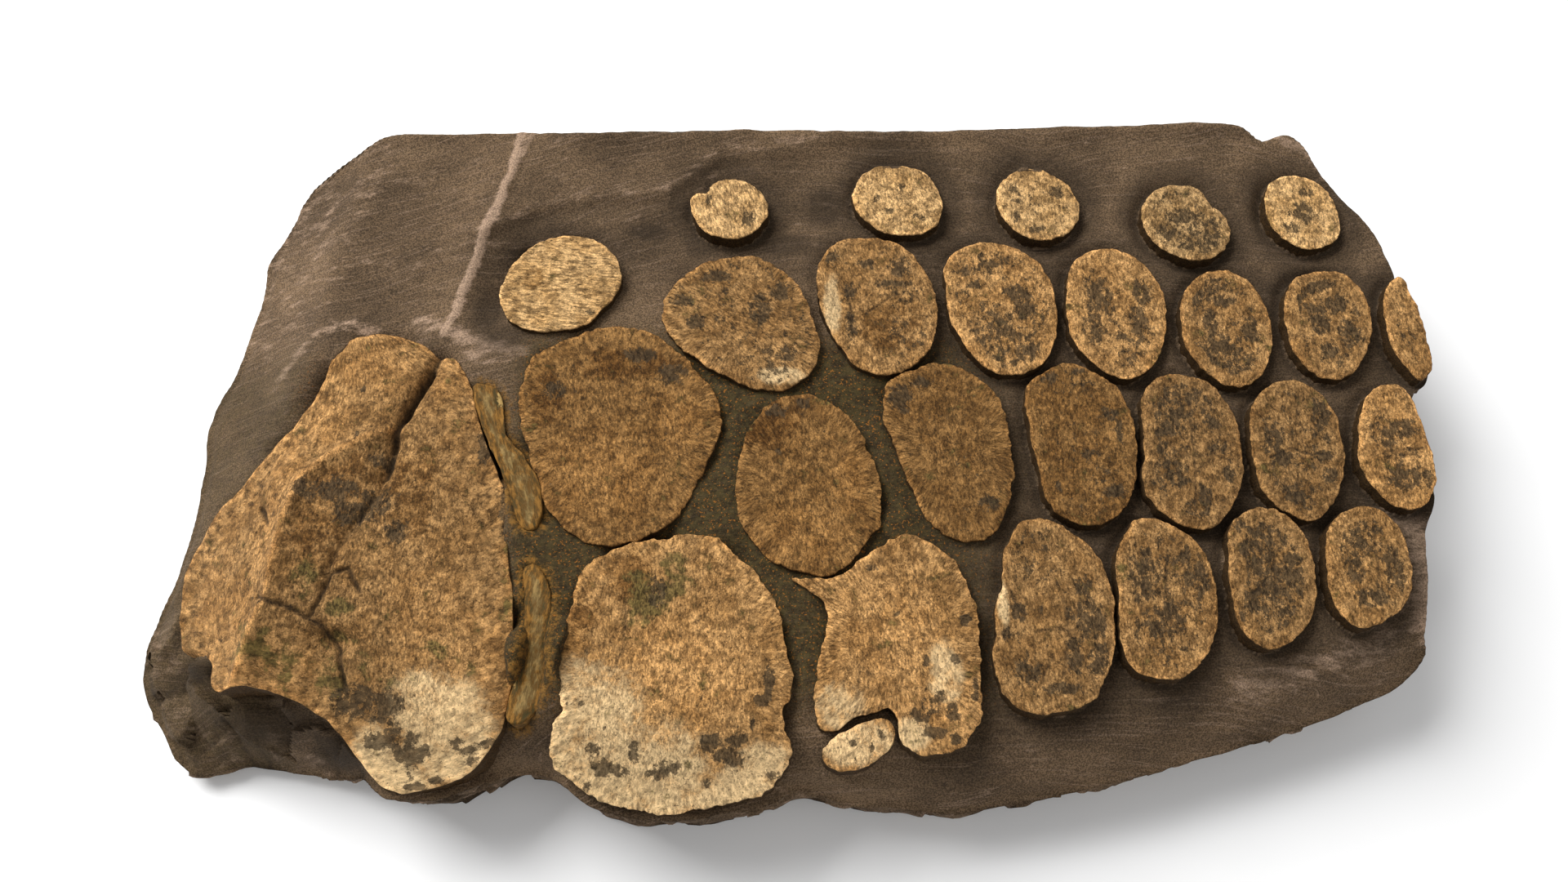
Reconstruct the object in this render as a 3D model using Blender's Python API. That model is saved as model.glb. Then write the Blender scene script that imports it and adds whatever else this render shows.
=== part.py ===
"""The forefin of an ichthyosaur, lying in the slab of dark shale that it was found in.

The fin runs along X, from the broken shoulder end at -X to the outermost finger bones at +X.
Its trailing edge is towards +Y, and the slab's flat underside is at Z = 0.
Points are in millimetres, measured from a spot near the middle of the slab. SLAB_MIDDLE is the
middle of the slab's outline in those numbers, and it becomes the origin of the finished object.
"""
import bmesh
import bpy
import numpy as np
from mathutils.geometry import delaunay_2d_cdt

MM = 0.001
SLAB_MIDDLE = (3.0, 2.5)

BONE_TOP = 60.0
FINGER_DEPTH = 15.0
WRIST_DEPTH = 18.0
RADIUS_DEPTH = 25.0
HUMERUS_FLOOR = 22.0
RIM_WIDTH = 1.6
RIM_DROP = 1.3
CROWN_REACH = 0.55
CROWN_SHARE = 0.8

FRONT_START = -105.0
FRONT_RUN = 42.0
FRONT_DROP = 12.0

SEAM_TOP = 57.5
SEAM_DEPTH = 12.0
SEAM_BEND = -80.0
SEAM_SLOPE = 0.13

CLEARANCE = 0.4
FACET = 7.4
HUMERUS_FACET = 8.0
CURVE_STEPS = 12
GROOVE_HALF_WIDTH = 4.0
UNDERCUT = 3.0
PLATE_SCALE = 100.0
SMALLEST_GAP = 1e-9
SAME_PLACE = 1e-6

TAN = (0.42, 0.26, 0.13)
STRAW = (0.56, 0.39, 0.20)
CREAM = (0.60, 0.46, 0.27)
AMBER = (0.36, 0.23, 0.08)
SHALE = (0.085, 0.068, 0.052)

# Each bone: outline, depth, height of its middle above its rim, colour.
BONES = {
    "metacarpal_5": (
        [(-42, 113), (-40.5, 120), (-35.5, 122), (-33.5, 119.8), (-33, 124.5), (-27, 128), (-18, 127),
         (-10.5, 121), (-7, 112), (-10.5, 104), (-19, 97.5), (-29, 98), (-38, 104)],
        FINGER_DEPTH, 0.8, STRAW),
    "phalanx_5_1": (
        [(31, 119), (34.5, 129), (41, 135), (50, 135), (62, 133), (69, 124), (71, 114), (67, 103),
         (58, 99.5), (47, 100), (38, 105), (32.5, 112)],
        FINGER_DEPTH, 0.8, STRAW),
    "phalanx_5_2": (
        [(96, 115), (99, 127), (104, 131.8), (113, 133.5), (124, 129.5), (131, 120.5), (132.5, 111),
         (127, 101), (117, 96.3), (107, 99), (99.5, 105.5)],
        FINGER_DEPTH, 0.6, TAN),
    "phalanx_5_3": (
        [(160, 108), (163, 117.5), (170, 123.5), (179, 124.7), (187, 123), (191.5, 115), (198, 107),
         (198, 97.5), (191, 88.5), (181, 86), (170, 90.5), (162.5, 99)],
        FINGER_DEPTH, 0.5, TAN),
    "phalanx_5_4": (
        [(216, 114), (219, 124.5), (227.5, 130), (237, 129.3), (244.5, 123), (248, 112), (247.5, 100.5),
         (241, 94), (232, 92), (222, 97.5), (217, 105)],
        FINGER_DEPTH, 0.5, TAN),
    "pisiform": (
        [(-124, 70), (-121, 80), (-113, 91.5), (-101, 98), (-88, 97.7), (-77, 91), (-72, 80), (-72.3, 71),
         (-77.5, 64), (-82, 57), (-95, 52), (-108, 51.5), (-119, 57.5)],
        WRIST_DEPTH, 0.9, STRAW),
    "ulnare": (
        [(-52.5, 63), (-49, 72), (-38, 83), (-26, 87.5), (-12, 87.8), (0, 80.5), (8.5, 69.5), (13, 55),
         (15.5, 43), (11.5, 32.5), (1, 24.5), (-9, 23.3), (-21, 28), (-36, 37), (-48, 48)],
        WRIST_DEPTH, -0.6, TAN),
    "distal_carpal_4": (
        [(14.2, 76), (17, 88.5), (25, 96), (37, 97), (50, 95), (59, 86), (64.5, 73), (66.3, 60),
         (64.5, 48), (57, 36.5), (44, 31), (33, 33.5), (25, 42.5), (19, 54), (15.3, 66)],
        WRIST_DEPTH, -0.6, TAN),
    "metacarpal_4": (
        [(70.5, 73), (71.8, 86), (79, 92.3), (90, 95.6), (103, 91.7), (112.5, 84), (117.3, 72),
         (117.5, 57), (114.5, 42.5), (107.5, 34.2), (97, 30.7), (86, 33.7), (78.5, 42.5), (72.5, 56)],
        FINGER_DEPTH, -0.5, TAN),
    "phalanx_4_1": (
        [(123.3, 69), (126.5, 83), (134.5, 90.3), (146, 91.7), (156.5, 86), (163.5, 75), (165.3, 61),
         (162.5, 46), (154.5, 33), (143, 28.5), (132.8, 35), (125.5, 44.5), (122.7, 57.5)],
        FINGER_DEPTH, -0.5, TAN),
    "phalanx_4_2": (
        [(171.3, 58), (175, 71.5), (183, 79), (192, 81.4), (201.5, 77), (208, 66), (209.7, 53),
         (206.5, 37.5), (198.5, 27.5), (189, 25), (179.5, 31.5), (172.8, 43)],
        FINGER_DEPTH, -0.5, TAN),
    "phalanx_4_3": (
        [(216.4, 56), (219, 69), (225, 77.8), (236, 80.6), (246.5, 78.5), (252.5, 68.5), (253.3, 56),
         (249, 42.5), (240.5, 31.2), (230.5, 28.5), (221.5, 34.5), (217.2, 45)],
        FINGER_DEPTH, -0.5, TAN),
    "phalanx_4_4": (
        [(259.7, 55), (261.3, 68), (265, 75.8), (269.3, 79), (272, 71.5), (275.2, 58), (275.8, 47),
         (273.8, 32), (269.3, 28.5), (263, 36.5), (260.2, 45)],
        FINGER_DEPTH, -0.4, TAN),
    "ulna": (
        [(-111, 18), (-109.3, 32), (-106.5, 39.5), (-97, 45.3), (-86, 50.5), (-74, 53), (-60, 51),
         (-49, 44.5), (-37, 32), (-29, 21.5), (-26, 9.5), (-29, -4), (-35, -17.5), (-42, -31),
         (-52, -39.3), (-64, -43.7), (-77, -44.2), (-87, -38.5), (-96.5, -28), (-100, -17), (-105, -7),
         (-108.3, 4)],
        WRIST_DEPTH, -0.8, TAN),
    "intermedium": (
        [(-19.6, -20), (-18.6, -7), (-13.5, 6.8), (-4.5, 17.7), (7, 21.5), (20, 17.6), (30, 7.7),
         (36, -7), (39.7, -22), (38.8, -35.5), (30.5, -46.5), (22, -55.8), (10, -56.2), (-3, -52.3),
         (-13.5, -42), (-18.5, -31)],
        WRIST_DEPTH, -0.4, TAN),
    "distal_carpal_3": (
        [(41.3, 19), (43.5, 26.5), (52, 31), (60, 34.6), (70, 35.7), (80, 30.5), (88.5, 22), (93, 9),
         (93.8, -3), (94.3, -14), (91.5, -26), (86, -37.5), (78, -42.8), (67, -41.3), (58.5, -34.5),
         (52, -20.5), (47, -6), (42.5, 8.5)],
        WRIST_DEPTH, -0.4, TAN),
    "metacarpal_3": (
        [(101.2, 18), (103.5, 26.8), (111, 32), (120, 36), (130.2, 32.3), (139, 26),
         (144.2, 14.5), (146, 1), (145, -10.5), (142, -23), (135, -31.7), (126, -36.4), (114, -33.8),
         (107, -26), (104.5, -11), (102.4, 4)],
        FINGER_DEPTH, -0.5, TAN),
    "phalanx_3_1": (
        [(149.4, 9), (151, 21), (157, 28.5), (167.5, 31), (179, 26.6), (186, 17), (189, 5), (188.8, -8),
         (186.3, -20), (180, -30.5), (168.5, -38.4), (157, -33.7), (148.5, -24.2), (146.4, -17),
         (149, -4.5)],
        FINGER_DEPTH, -0.5, TAN),
    "phalanx_3_2": (
        [(193.3, 2), (196, 15.5), (203, 24.3), (213, 28.3), (223, 24.2), (229.2, 15.5), (231.3, 3),
         (230.8, -8.5), (227, -19.5), (221, -29), (212.5, -34.2), (201.5, -29.3), (195, -21.5),
         (193.5, -9)],
        FINGER_DEPTH, -0.5, TAN),
    "phalanx_3_3": (
        [(238, 1), (241, 12), (244.5, 20), (251, 25.2), (259, 25.6), (264.2, 18), (265.5, 8),
         (267.2, -4), (267, -15), (263, -24.7), (253, -29.8), (244.5, -25.2), (238.7, -14.7),
         (236.9, -6)],
        FINGER_DEPTH, -0.5, TAN),
    "radius": (
        [(-89, -95), (-86, -81), (-83.5, -67), (-80, -54.5), (-70, -47.8), (-56, -43.3), (-41, -40.7),
         (-29, -40.5), (-19, -49), (-9, -59), (-2.5, -70), (1, -86), (2.7, -103), (-0.5, -113.2),
         (2.6, -122), (0.7, -131.5), (-7.7, -140), (-22.6, -143.5), (-41, -147), (-56.4, -145.6),
         (-71.7, -141), (-83.6, -133), (-89.1, -123.7), (-86.5, -112), (-84.5, -107), (-87.5, -100.5)],
        RADIUS_DEPTH, -0.5, CREAM),
    "radiale": (
        [(3, -58.6), (12, -58.2), (21.5, -58.2), (29.8, -51.8), (40.5, -43.3), (50, -40.4), (62, -46),
         (70, -54.5), (75, -70), (76.3, -88), (75.1, -105), (74.6, -113.5), (68, -122.3), (56, -126.6),
         (46.5, -123.8), (43.3, -117), (43.8, -111), (41, -108.9), (36.5, -110.5), (28, -112.3),
         (21.5, -116.2), (15.5, -118.3), (11.7, -111), (12.8, -98), (15.3, -84), (17.2, -74),
         (14.5, -66.5)],
        WRIST_DEPTH, -0.4, TAN),
    "radiale_chip": (
        [(15.8, -126.5), (18.5, -121.5), (24.5, -118.6), (31.3, -115.6), (38, -113.2), (40.8, -117),
         (39, -123.3), (33, -128), (24, -130.8), (17.5, -129.8)],
        WRIST_DEPTH, 0.4, CREAM),
    "distal_carpal_2": (
        [(80.8, -91), (82.6, -80), (83.2, -69), (86.5, -60.3), (88, -49), (91.5, -40), (99, -33.3),
         (109, -35.4), (118, -41.3), (125.5, -50.5), (129, -62), (129.5, -74), (127.3, -89),
         (122.5, -99.5), (116, -107.8), (104, -111), (92, -110.7), (84.3, -103.7)],
        WRIST_DEPTH, -0.4, TAN),
    "metacarpal_2": (
        [(131.2, -76), (132.3, -64), (132.2, -51), (136.8, -40.5), (144, -33), (155, -35.8),
         (165, -43.3), (169.8, -54), (170.4, -67), (168, -80), (161.5, -91.2), (151, -98.3),
         (141, -97.5), (133.5, -92.5), (131.2, -84)],
        FINGER_DEPTH, -0.5, TAN),
    "phalanx_2_1": (
        [(176.5, -62), (177.5, -47.5), (181, -35.5), (188, -29.6), (197.5, -29.4), (206.5, -36),
         (210.5, -46), (210.3, -60), (206.5, -73.5), (200, -81.3), (187, -86.3), (179, -80.5),
         (176.6, -70)],
        FINGER_DEPTH, -0.5, TAN),
    "phalanx_2_2": (
        [(215.4, -60), (216.3, -49.5), (219.5, -38), (227, -30.3), (237, -28.4), (245, -33.2),
         (249.4, -45), (249, -57), (243.5, -69), (234, -76.1), (225.5, -78.3), (218, -72)],
        FINGER_DEPTH, -0.5, TAN),
}

# Two veins of calcite fill the crack beyond the humerus.
SEAMS = {
    "calcite_seam_upper": [
        (-129.3, 24.5), (-128.4, 18.5), (-124.2, 8), (-119.6, -2), (-114.4, -12.6), (-110, -22.6),
        (-107, -31.5), (-102.5, -39), (-99.8, -31.5), (-99.7, -26.6), (-103.2, -16.2), (-109.4, -6.8),
        (-115, -0.4), (-120.3, 8.5), (-119.8, 17.2), (-124.9, 24)],
    "calcite_seam_lower": [
        (-101, -54), (-100.2, -65), (-99.5, -77), (-100.5, -90.5), (-102.6, -102), (-103.8, -112.5),
        (-101.5, -114), (-95.8, -107.8), (-92.8, -98.4), (-93.2, -86), (-92.9, -72), (-94.9, -62),
        (-98.7, -55)],
}

# The humerus: its edge, points on its upper face, and a groove with the depth at each point.
HUMERUS_EDGE = [
    (-184, 47, 61), (-176, 49.2, 61), (-165, 48, 61), (-154, 43.8, 61), (-147.5, 40, 60.5),
    (-146, 37.8, 60), (-141, 38.3, 60.5), (-136.5, 32.3, 61), (-131.8, 24.5, 60.5), (-128.5, 13, 60.5),
    (-123.8, 1.5, 60.5), (-119, -10.5, 60), (-113.8, -21, 60), (-111.3, -32, 60), (-110.8, -46, 60),
    (-107.5, -62, 60), (-106, -75, 60), (-105.2, -88, 58.5), (-105.8, -101, 55.5), (-107.5, -112, 52),
    (-112.8, -122, 49), (-118.5, -129.7, 47), (-126, -134.6, 46), (-136, -138, 45),
    (-152, -138, 44.5), (-159, -132.5, 46), (-165, -124.3, 48), (-175, -114, 52), (-189, -105, 57),
    (-206, -101, 59), (-221, -101.6, 54), (-224.3, -96.5, 51), (-226, -90, 47), (-232, -86, 41),
    (-241, -85.3, 38), (-245.5, -75, 37), (-247.5, -62, 37.5), (-247.3, -49, 38.5), (-241, -36.5, 41),
    (-236.5, -26, 43.5), (-226, -16.5, 48), (-215.5, -3.7, 52), (-203.5, 10.3, 56), (-195.2, 26, 59),
    (-191, 39, 60.5)]
HUMERUS_CREST = [
    (-204, -18, 64), (-198, -28, 68), (-196, -42, 71), (-198, -56, 73), (-197, -70, 74),
    (-202, -83, 73), (-208, -93, 67)]
HUMERUS_FACE = [
    (-176, 13, 64), (-178, 32, 63), (-163, 33, 62.5), (-190, 3, 62), (-181, -20, 65), (-181, -42, 66),
    (-180, -60, 66.5), (-176, -78, 65), (-184, -93, 62), (-222, -38, 54), (-226, -55, 53.5),
    (-225, -72, 53), (-218, -88, 56), (-212, -30, 59), (-136, 14, 62), (-141, 26, 62), (-139, -4, 63),
    (-132, -22, 63), (-118, -40, 61.5), (-119, -62, 61.5), (-118, -88, 60), (-124, -110, 55.5),
    (-138, -128, 49), (-152, -119, 52.5), (-158, -97, 59), (-142, -97, 60), (-146, -75, 63),
    (-150, -40, 63.5), (-160, -58, 64.5), (-132, -60, 63), (-132, -82, 62), (-150, -15, 63.5)]
HUMERUS_GROOVE = [
    (-149.5, 31, 6), (-153.5, 20, 7), (-158, 8.5, 7), (-161, -8, 5.5), (-164, -19, 4), (-168, -30, 2)]

# The slab's upper rim, clockwise from its far left corner, with its level above the underside.
SLAB_RIM = [
    (-196, 143, 57), (-180, 150, 62), (-150, 150.5, 63), (-120, 150.5, 64), (-98, 150.5, 64),
    (-75, 151, 64), (-50, 151.5, 64), (-26, 152, 64), (0, 152, 64), (26, 151.5, 64), (52, 151.5, 64),
    (78, 152, 64), (103, 152.5, 64), (128, 153, 65), (150, 153.5, 65), (172, 154, 66),
    (191, 154.5, 66), (207, 154, 65), (214, 150, 63), (219, 148, 61), (226, 150.5, 61),
    (232, 151, 61), (239, 146, 59), (244, 135, 57), (252, 122, 56), (259, 111, 56), (266, 100, 55),
    (268, 90, 55), (271.5, 80.5, 54), (273.6, 73, 54), (275.4, 67, 54), (277, 59.5, 54),
    (278, 51, 54), (277.9, 43.5, 54), (277.4, 35.5, 54), (275.3, 29.5, 54), (270.5, 26.2, 54),
    (267.3, 21, 54), (267, 14, 54), (267.8, 7, 54), (268.6, 1.5, 54), (269.4, -4, 54),
    (269.4, -10.5, 54), (269, -17, 53), (267.4, -22, 53), (264.5, -28, 53), (261.5, -34, 52),
    (260, -43, 52), (258.5, -53, 51), (256, -66, 49), (255, -76, 46), (257, -84, 43), (253, -92, 38),
    (243, -99.5, 33), (228, -105.5, 31), (210, -112, 30), (184, -120, 30), (155, -128, 30),
    (138, -132.5, 30), (122, -136, 30), (106, -139.5, 29), (90, -142, 29), (76, -144.5, 28),
    (64, -146, 28), (52, -144.5, 28), (40, -143.2, 28), (29, -142.8, 28), (15, -139.5, 30),
    (4, -138.5, 36), (-4, -143, 41), (-14, -145.5, 43), (-24, -146.8, 44), (-33, -148.6, 44),
    (-42, -149.5, 44), (-52, -149.3, 44), (-62, -147.8, 44), (-72, -145, 44), (-79, -141, 43),
    (-86, -136, 38), (-92, -132.5, 30), (-99, -130.5, 24), (-108, -130.5, 22), (-116, -133.5, 30),
    (-124, -138, 38), (-133, -141, 40), (-142, -141.5, 40), (-153, -141.3, 40), (-161, -137, 35),
    (-168, -132.5, 26), (-177, -131, 16), (-191, -129.5, 10), (-206, -127, 8), (-221, -125, 8),
    (-233, -127, 8), (-241, -129, 8), (-249, -125.5, 8), (-254, -121, 9), (-260, -111, 10),
    (-269, -97, 11), (-272, -83, 12), (-268, -68, 16), (-262, -53, 20), (-258, -36, 22),
    (-255, -19, 25), (-254.5, -6, 26), (-255, 6, 26), (-256, 19, 27), (-252, 33, 28),
    (-246, 46, 30), (-243, 62, 32), (-239, 78, 34), (-237, 96, 38), (-231, 107, 40), (-226, 116, 43),
    (-219, 129, 47), (-208, 137, 52)]

# Levels of the prepared surface between the bones, one group for each stretch of it.
FAR_SHELF = [
    (-165, 140, 63), (-135, 138, 63.5), (-100, 140, 63.5), (-60, 140, 62), (-20, 141, 62),
    (20, 144, 62), (60, 145, 62), (100, 145, 62.5), (140, 144, 63), (175, 143, 63), (205, 138, 60),
    (228, 140, 58)]
LEFT_CREST = [
    (-191, 138, 61), (-192, 121, 61), (-195, 104, 60.5), (-197, 88, 60), (-198, 72, 60),
    (-199, 56, 60), (-205, 42, 58), (-213, 28, 54)]
LEFT_BEVEL = [
    (-205, 125, 54), (-211, 108, 51), (-215, 90, 49), (-219, 72, 47), (-222, 54, 45), (-226, 38, 42),
    (-231, 22, 40), (-236, 6, 38), (-240, -8, 36), (-245, -22, 33)]
FAR_BASIN = [
    (-160, 122, 59), (-178, 110, 59), (-150, 100, 58), (-175, 85, 58), (-150, 75, 58),
    (-178, 62, 58.5), (-157, 59, 59)]
PALE_RIDGE = [
    (-123, 132, 64), (-127, 118, 63), (-133, 98, 62), (-137, 80, 61), (-140, 65, 60.5),
    (-143, 50, 60)]
PISIFORM_SIDE = [
    (-110, 125, 60.5), (-118, 104, 58), (-128, 86, 56.5), (-131, 66, 56.5), (-128, 48, 57),
    (-90, 112, 57.5), (-66, 100, 55.5), (-62, 80, 55), (-66, 64, 56), (-107, 46, 57.5),
    (-120, 36, 58.5), (-116, 14, 58.5)]
FIFTH_FINGER_SIDE = [
    (-50, 126, 58.5), (-48, 106, 55), (-55, 88, 54), (-15, 92, 53.5), (2, 122, 56), (12, 134, 58),
    (12, 106, 54), (26, 104, 54), (84, 126, 56.5), (84, 106, 53.5), (142, 128, 57.5),
    (146, 108, 54), (140, 98, 53.5), (155, 95, 53.5), (207, 122, 56.5), (206, 103, 54),
    (214, 86, 53.5), (252, 92, 54), (256, 82, 54), (253, 106, 55)]
FINGER_GAPS = [
    (68, 84, 53.5), (69.5, 44, 54), (119, 84, 53.5), (119, 44, 53.5), (168, 76, 53.5),
    (168, 42, 53.5), (213, 72, 53.5), (213, 40, 53.5), (256.5, 72, 54), (256, 42, 53.5),
    (98, 24, 54.5), (98, -2, 54), (99, -24, 54), (148, 26, 54), (147, -28.5, 53.5), (191, 20, 54),
    (190, -25, 53), (234, 22, 54), (233, -22, 53), (262, 29, 53.5), (173.5, -42, 53.5),
    (172, -82, 52.5), (213.5, -38, 53.5), (213, -64, 53), (130, -42, 53.5), (130, -99, 51)]
WRIST_GAPS = [
    (-60, 58, 56.5), (-30, 28, 57), (-15, 19, 57.5), (-23, 2, 58), (-24, -25, 58.5),
    (-32, -37, 58.5), (-13, -50, 58), (4, -67, 58), (9, -90, 57), (7, -108, 55), (8, -122, 50),
    (28, 28, 56), (37, 5, 57), (44, -15, 58), (50, -37, 58.5), (78, -50, 57.5), (80, -70, 56.5),
    (79.5, -108, 52), (-92, -40, 58.5), (-92, -56, 58), (-96, -118, 50)]
FRONT_LEDGE = [
    (14, -133.5, 43), (30, -134.5, 42), (45, -131, 43), (60, -130.5, 44), (76, -125, 46.5),
    (96, -119, 48), (120, -114, 48.5), (145, -107, 49), (168, -100, 50), (195, -92, 51),
    (222, -84, 51), (244, -76, 50.5), (253, -62, 51.5), (254, -45, 52.5)]
FRONT_BEVEL = [
    (105, -129, 39), (140, -120, 39.5), (175, -111, 40), (205, -102, 41), (236, -91, 42)]
BROKEN_CORNER = [
    (-180, -118, 38), (-200, -112, 36), (-222, -111, 34), (-240, -108, 27), (-250, -96, 26),
    (-257, -82, 24), (-255, -66, 27), (-253, -48, 30), (-170, -126, 32), (-104, -123, 38)]
GROUND = (
    FAR_SHELF + LEFT_CREST + LEFT_BEVEL + FAR_BASIN + PALE_RIDGE + PISIFORM_SIDE
    + FIFTH_FINGER_SIDE + FINGER_GAPS + WRIST_GAPS + FRONT_LEDGE + FRONT_BEVEL + BROKEN_CORNER)


def clear_scene():
    for item in list(bpy.data.objects):
        bpy.data.objects.remove(item, do_unlink=True)


def rock_material(name, colour):
    material = bpy.data.materials.new(name)
    material.use_nodes = True
    shader = material.node_tree.nodes["Principled BSDF"]
    shader.inputs["Base Color"].default_value = (*colour, 1.0)
    shader.inputs["Roughness"].default_value = 0.8
    shader.inputs["Metallic"].default_value = 0.0
    return material


def add_solid(name, points, faces, colour):
    """One closed solid from points in millimetres, with its faces turned outwards."""
    shift = np.array([SLAB_MIDDLE[0], SLAB_MIDDLE[1], 0.0])
    mesh = bpy.data.meshes.new(name)
    mesh.from_pydata(((np.array(points) - shift) * MM).tolist(), [], faces)
    shell = bmesh.new()
    shell.from_mesh(mesh)
    bmesh.ops.recalc_face_normals(shell, faces=shell.faces)
    shell.to_mesh(mesh)
    shell.free()
    mesh.materials.append(rock_material(name, colour))
    solid = bpy.data.objects.new(name, mesh)
    bpy.context.collection.objects.link(solid)
    return solid


def smooth_loop(points, facet):
    """A closed smooth curve through the points, cut into equal sides of about one facet each."""
    knots = np.array(points, float)
    after = np.roll(knots, -1, axis=0)
    leaving = np.linalg.norm(after - knots, axis=1)[:, None]
    arriving = np.roll(leaving, 1, axis=0)
    direction = (after - knots) / leaving
    slope = (np.roll(direction, 1, axis=0) * leaving + direction * arriving) / (leaving + arriving)
    curve = []
    for i in range(len(knots)):
        start = slope[i] * leaving[i]
        end = slope[(i + 1) % len(knots)] * leaving[i]
        for t in np.linspace(0.0, 1.0, CURVE_STEPS, endpoint=False):
            curve.append((2 * t**3 - 3 * t**2 + 1) * knots[i] + (t**3 - 2 * t**2 + t) * start
                         + (3 * t**2 - 2 * t**3) * after[i] + (t**3 - t**2) * end)
    closed = np.array(curve + curve[:1])
    walked = np.concatenate([[0.0], np.cumsum(np.linalg.norm(np.diff(closed, axis=0), axis=1))])
    stops = np.linspace(0.0, walked[-1], round(walked[-1] / facet), endpoint=False)
    loop = np.column_stack([np.interp(stops, walked, column) for column in closed.T])
    return counter_clockwise(loop)


def counter_clockwise(loop):
    after = np.roll(loop, -1, axis=0)
    doubled_area = np.sum(loop[:, 0] * after[:, 1] - after[:, 0] * loop[:, 1])
    return loop if doubled_area > 0 else loop[::-1]


def grown(loop, distance):
    """The loop moved outwards by a distance, or inwards by a negative one."""
    along = np.roll(loop, -1, axis=0)[:, :2] - np.roll(loop, 1, axis=0)[:, :2]
    outwards = np.column_stack([along[:, 1], -along[:, 0]])
    outwards /= np.linalg.norm(outwards, axis=1)[:, None]
    moved = loop.copy()
    moved[:, :2] += outwards * distance
    return moved


def holds(loop, points):
    """Whether the loop goes around each of the points."""
    inside = np.zeros(len(points), bool)
    after = np.roll(loop, -1, axis=0)
    for start, end in zip(loop, after):
        crosses = (start[1] > points[:, 1]) != (end[1] > points[:, 1])
        rise = end[1] - start[1]
        if rise:
            reach = start[0] + (points[:, 1] - start[1]) * (end[0] - start[0]) / rise
            inside ^= crosses & (points[:, 0] < reach)
    return inside


def plate_kernel(points, centres):
    gaps = np.linalg.norm(points[:, None, :] - centres[None, :, :], axis=2) / PLATE_SCALE
    return gaps**2 * np.log(np.maximum(gaps, SMALLEST_GAP))


def thin_plate(points):
    """The level of a sheet bent smoothly through the given points, at any place in plan."""
    known = np.array(points, float)
    centres = known[:, :2]
    count = len(known)
    flat = np.column_stack([np.ones(count), centres / PLATE_SCALE])
    system = np.zeros((count + 3, count + 3))
    system[:count, :count] = plate_kernel(centres, centres)
    system[:count, count:] = flat
    system[count:, :count] = flat.T
    weights = np.linalg.solve(system, np.concatenate([known[:, 2], np.zeros(3)]))

    def level(places):
        plan = np.array(places, float)[:, :2]
        sloped = np.column_stack([np.ones(len(plan)), plan / PLATE_SCALE])
        return plate_kernel(plan, centres) @ weights[:count] + sloped @ weights[count:]

    return level


def front_drop(y):
    """How far the bones near the slab's front edge curve down, at a place along Y."""
    past = np.clip((FRONT_START - y) / FRONT_RUN, 0.0, None)
    return FRONT_DROP * past**2


def ring_faces(lower, upper, count):
    """Quads between two rings of points, given where each ring starts."""
    return [(lower + i, lower + (i + 1) % count, upper + (i + 1) % count, upper + i)
            for i in range(count)]


def bone_disc(name, outline, depth, crown, colour):
    """A bone with an upright edge, a rounded rim and a gently domed or dished upper face."""
    side = smooth_loop(outline, FACET)
    rim = grown(side, -RIM_WIDTH)
    middle = side.mean(axis=0)
    inner = middle + (rim - middle) * CROWN_REACH
    count = len(side)
    rings = [
        np.column_stack([side, np.full(count, BONE_TOP - depth)]),
        np.column_stack([side, BONE_TOP - RIM_DROP - front_drop(side[:, 1])]),
        np.column_stack([rim, BONE_TOP - front_drop(rim[:, 1])]),
        np.column_stack([inner, BONE_TOP + CROWN_SHARE * crown - front_drop(inner[:, 1])])]
    peak = [[*middle, BONE_TOP + crown - front_drop(middle[1])]]
    faces = [tuple(range(count))]
    for i in range(len(rings) - 1):
        faces += ring_faces(i * count, (i + 1) * count, count)
    top = (len(rings) - 1) * count
    faces += [(top + i, top + (i + 1) % count, top + count) for i in range(count)]
    add_solid(name, np.vstack(rings + [peak]), faces, colour)
    return side, BONE_TOP - depth


def calcite_seam(name, outline):
    side = smooth_loop(outline, FACET)
    count = len(side)
    floor = SEAM_TOP - SEAM_DEPTH
    fall = SEAM_SLOPE * np.clip(SEAM_BEND - side[:, 1], 0.0, None)
    rings = [
        np.column_stack([side, np.full(count, floor)]),
        np.column_stack([side, SEAM_TOP - fall])]
    faces = [tuple(range(count)), tuple(range(2 * count - 1, count - 1, -1))]
    faces += ring_faces(0, count, count)
    add_solid(name, np.vstack(rings), faces, AMBER)
    return side, floor


def triangulated(loops, loose):
    """Triangles over the plan that keep the loops as edges, with the loops' points first."""
    points = [tuple(point[:2]) for loop in loops for point in loop]
    edges = []
    start = 0
    for loop in loops:
        edges += [(start + i, start + (i + 1) % len(loop)) for i in range(len(loop))]
        start += len(loop)
    points += [tuple(point[:2]) for point in loose]
    places, _, triangles, _, _, _ = delaunay_2d_cdt(points, edges, [], 0, SAME_PLACE)
    assert len(places) == len(points)
    plan = np.array(points)
    centres = np.array([plan[list(triangle)].mean(axis=0) for triangle in triangles])
    return triangles, centres


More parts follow.
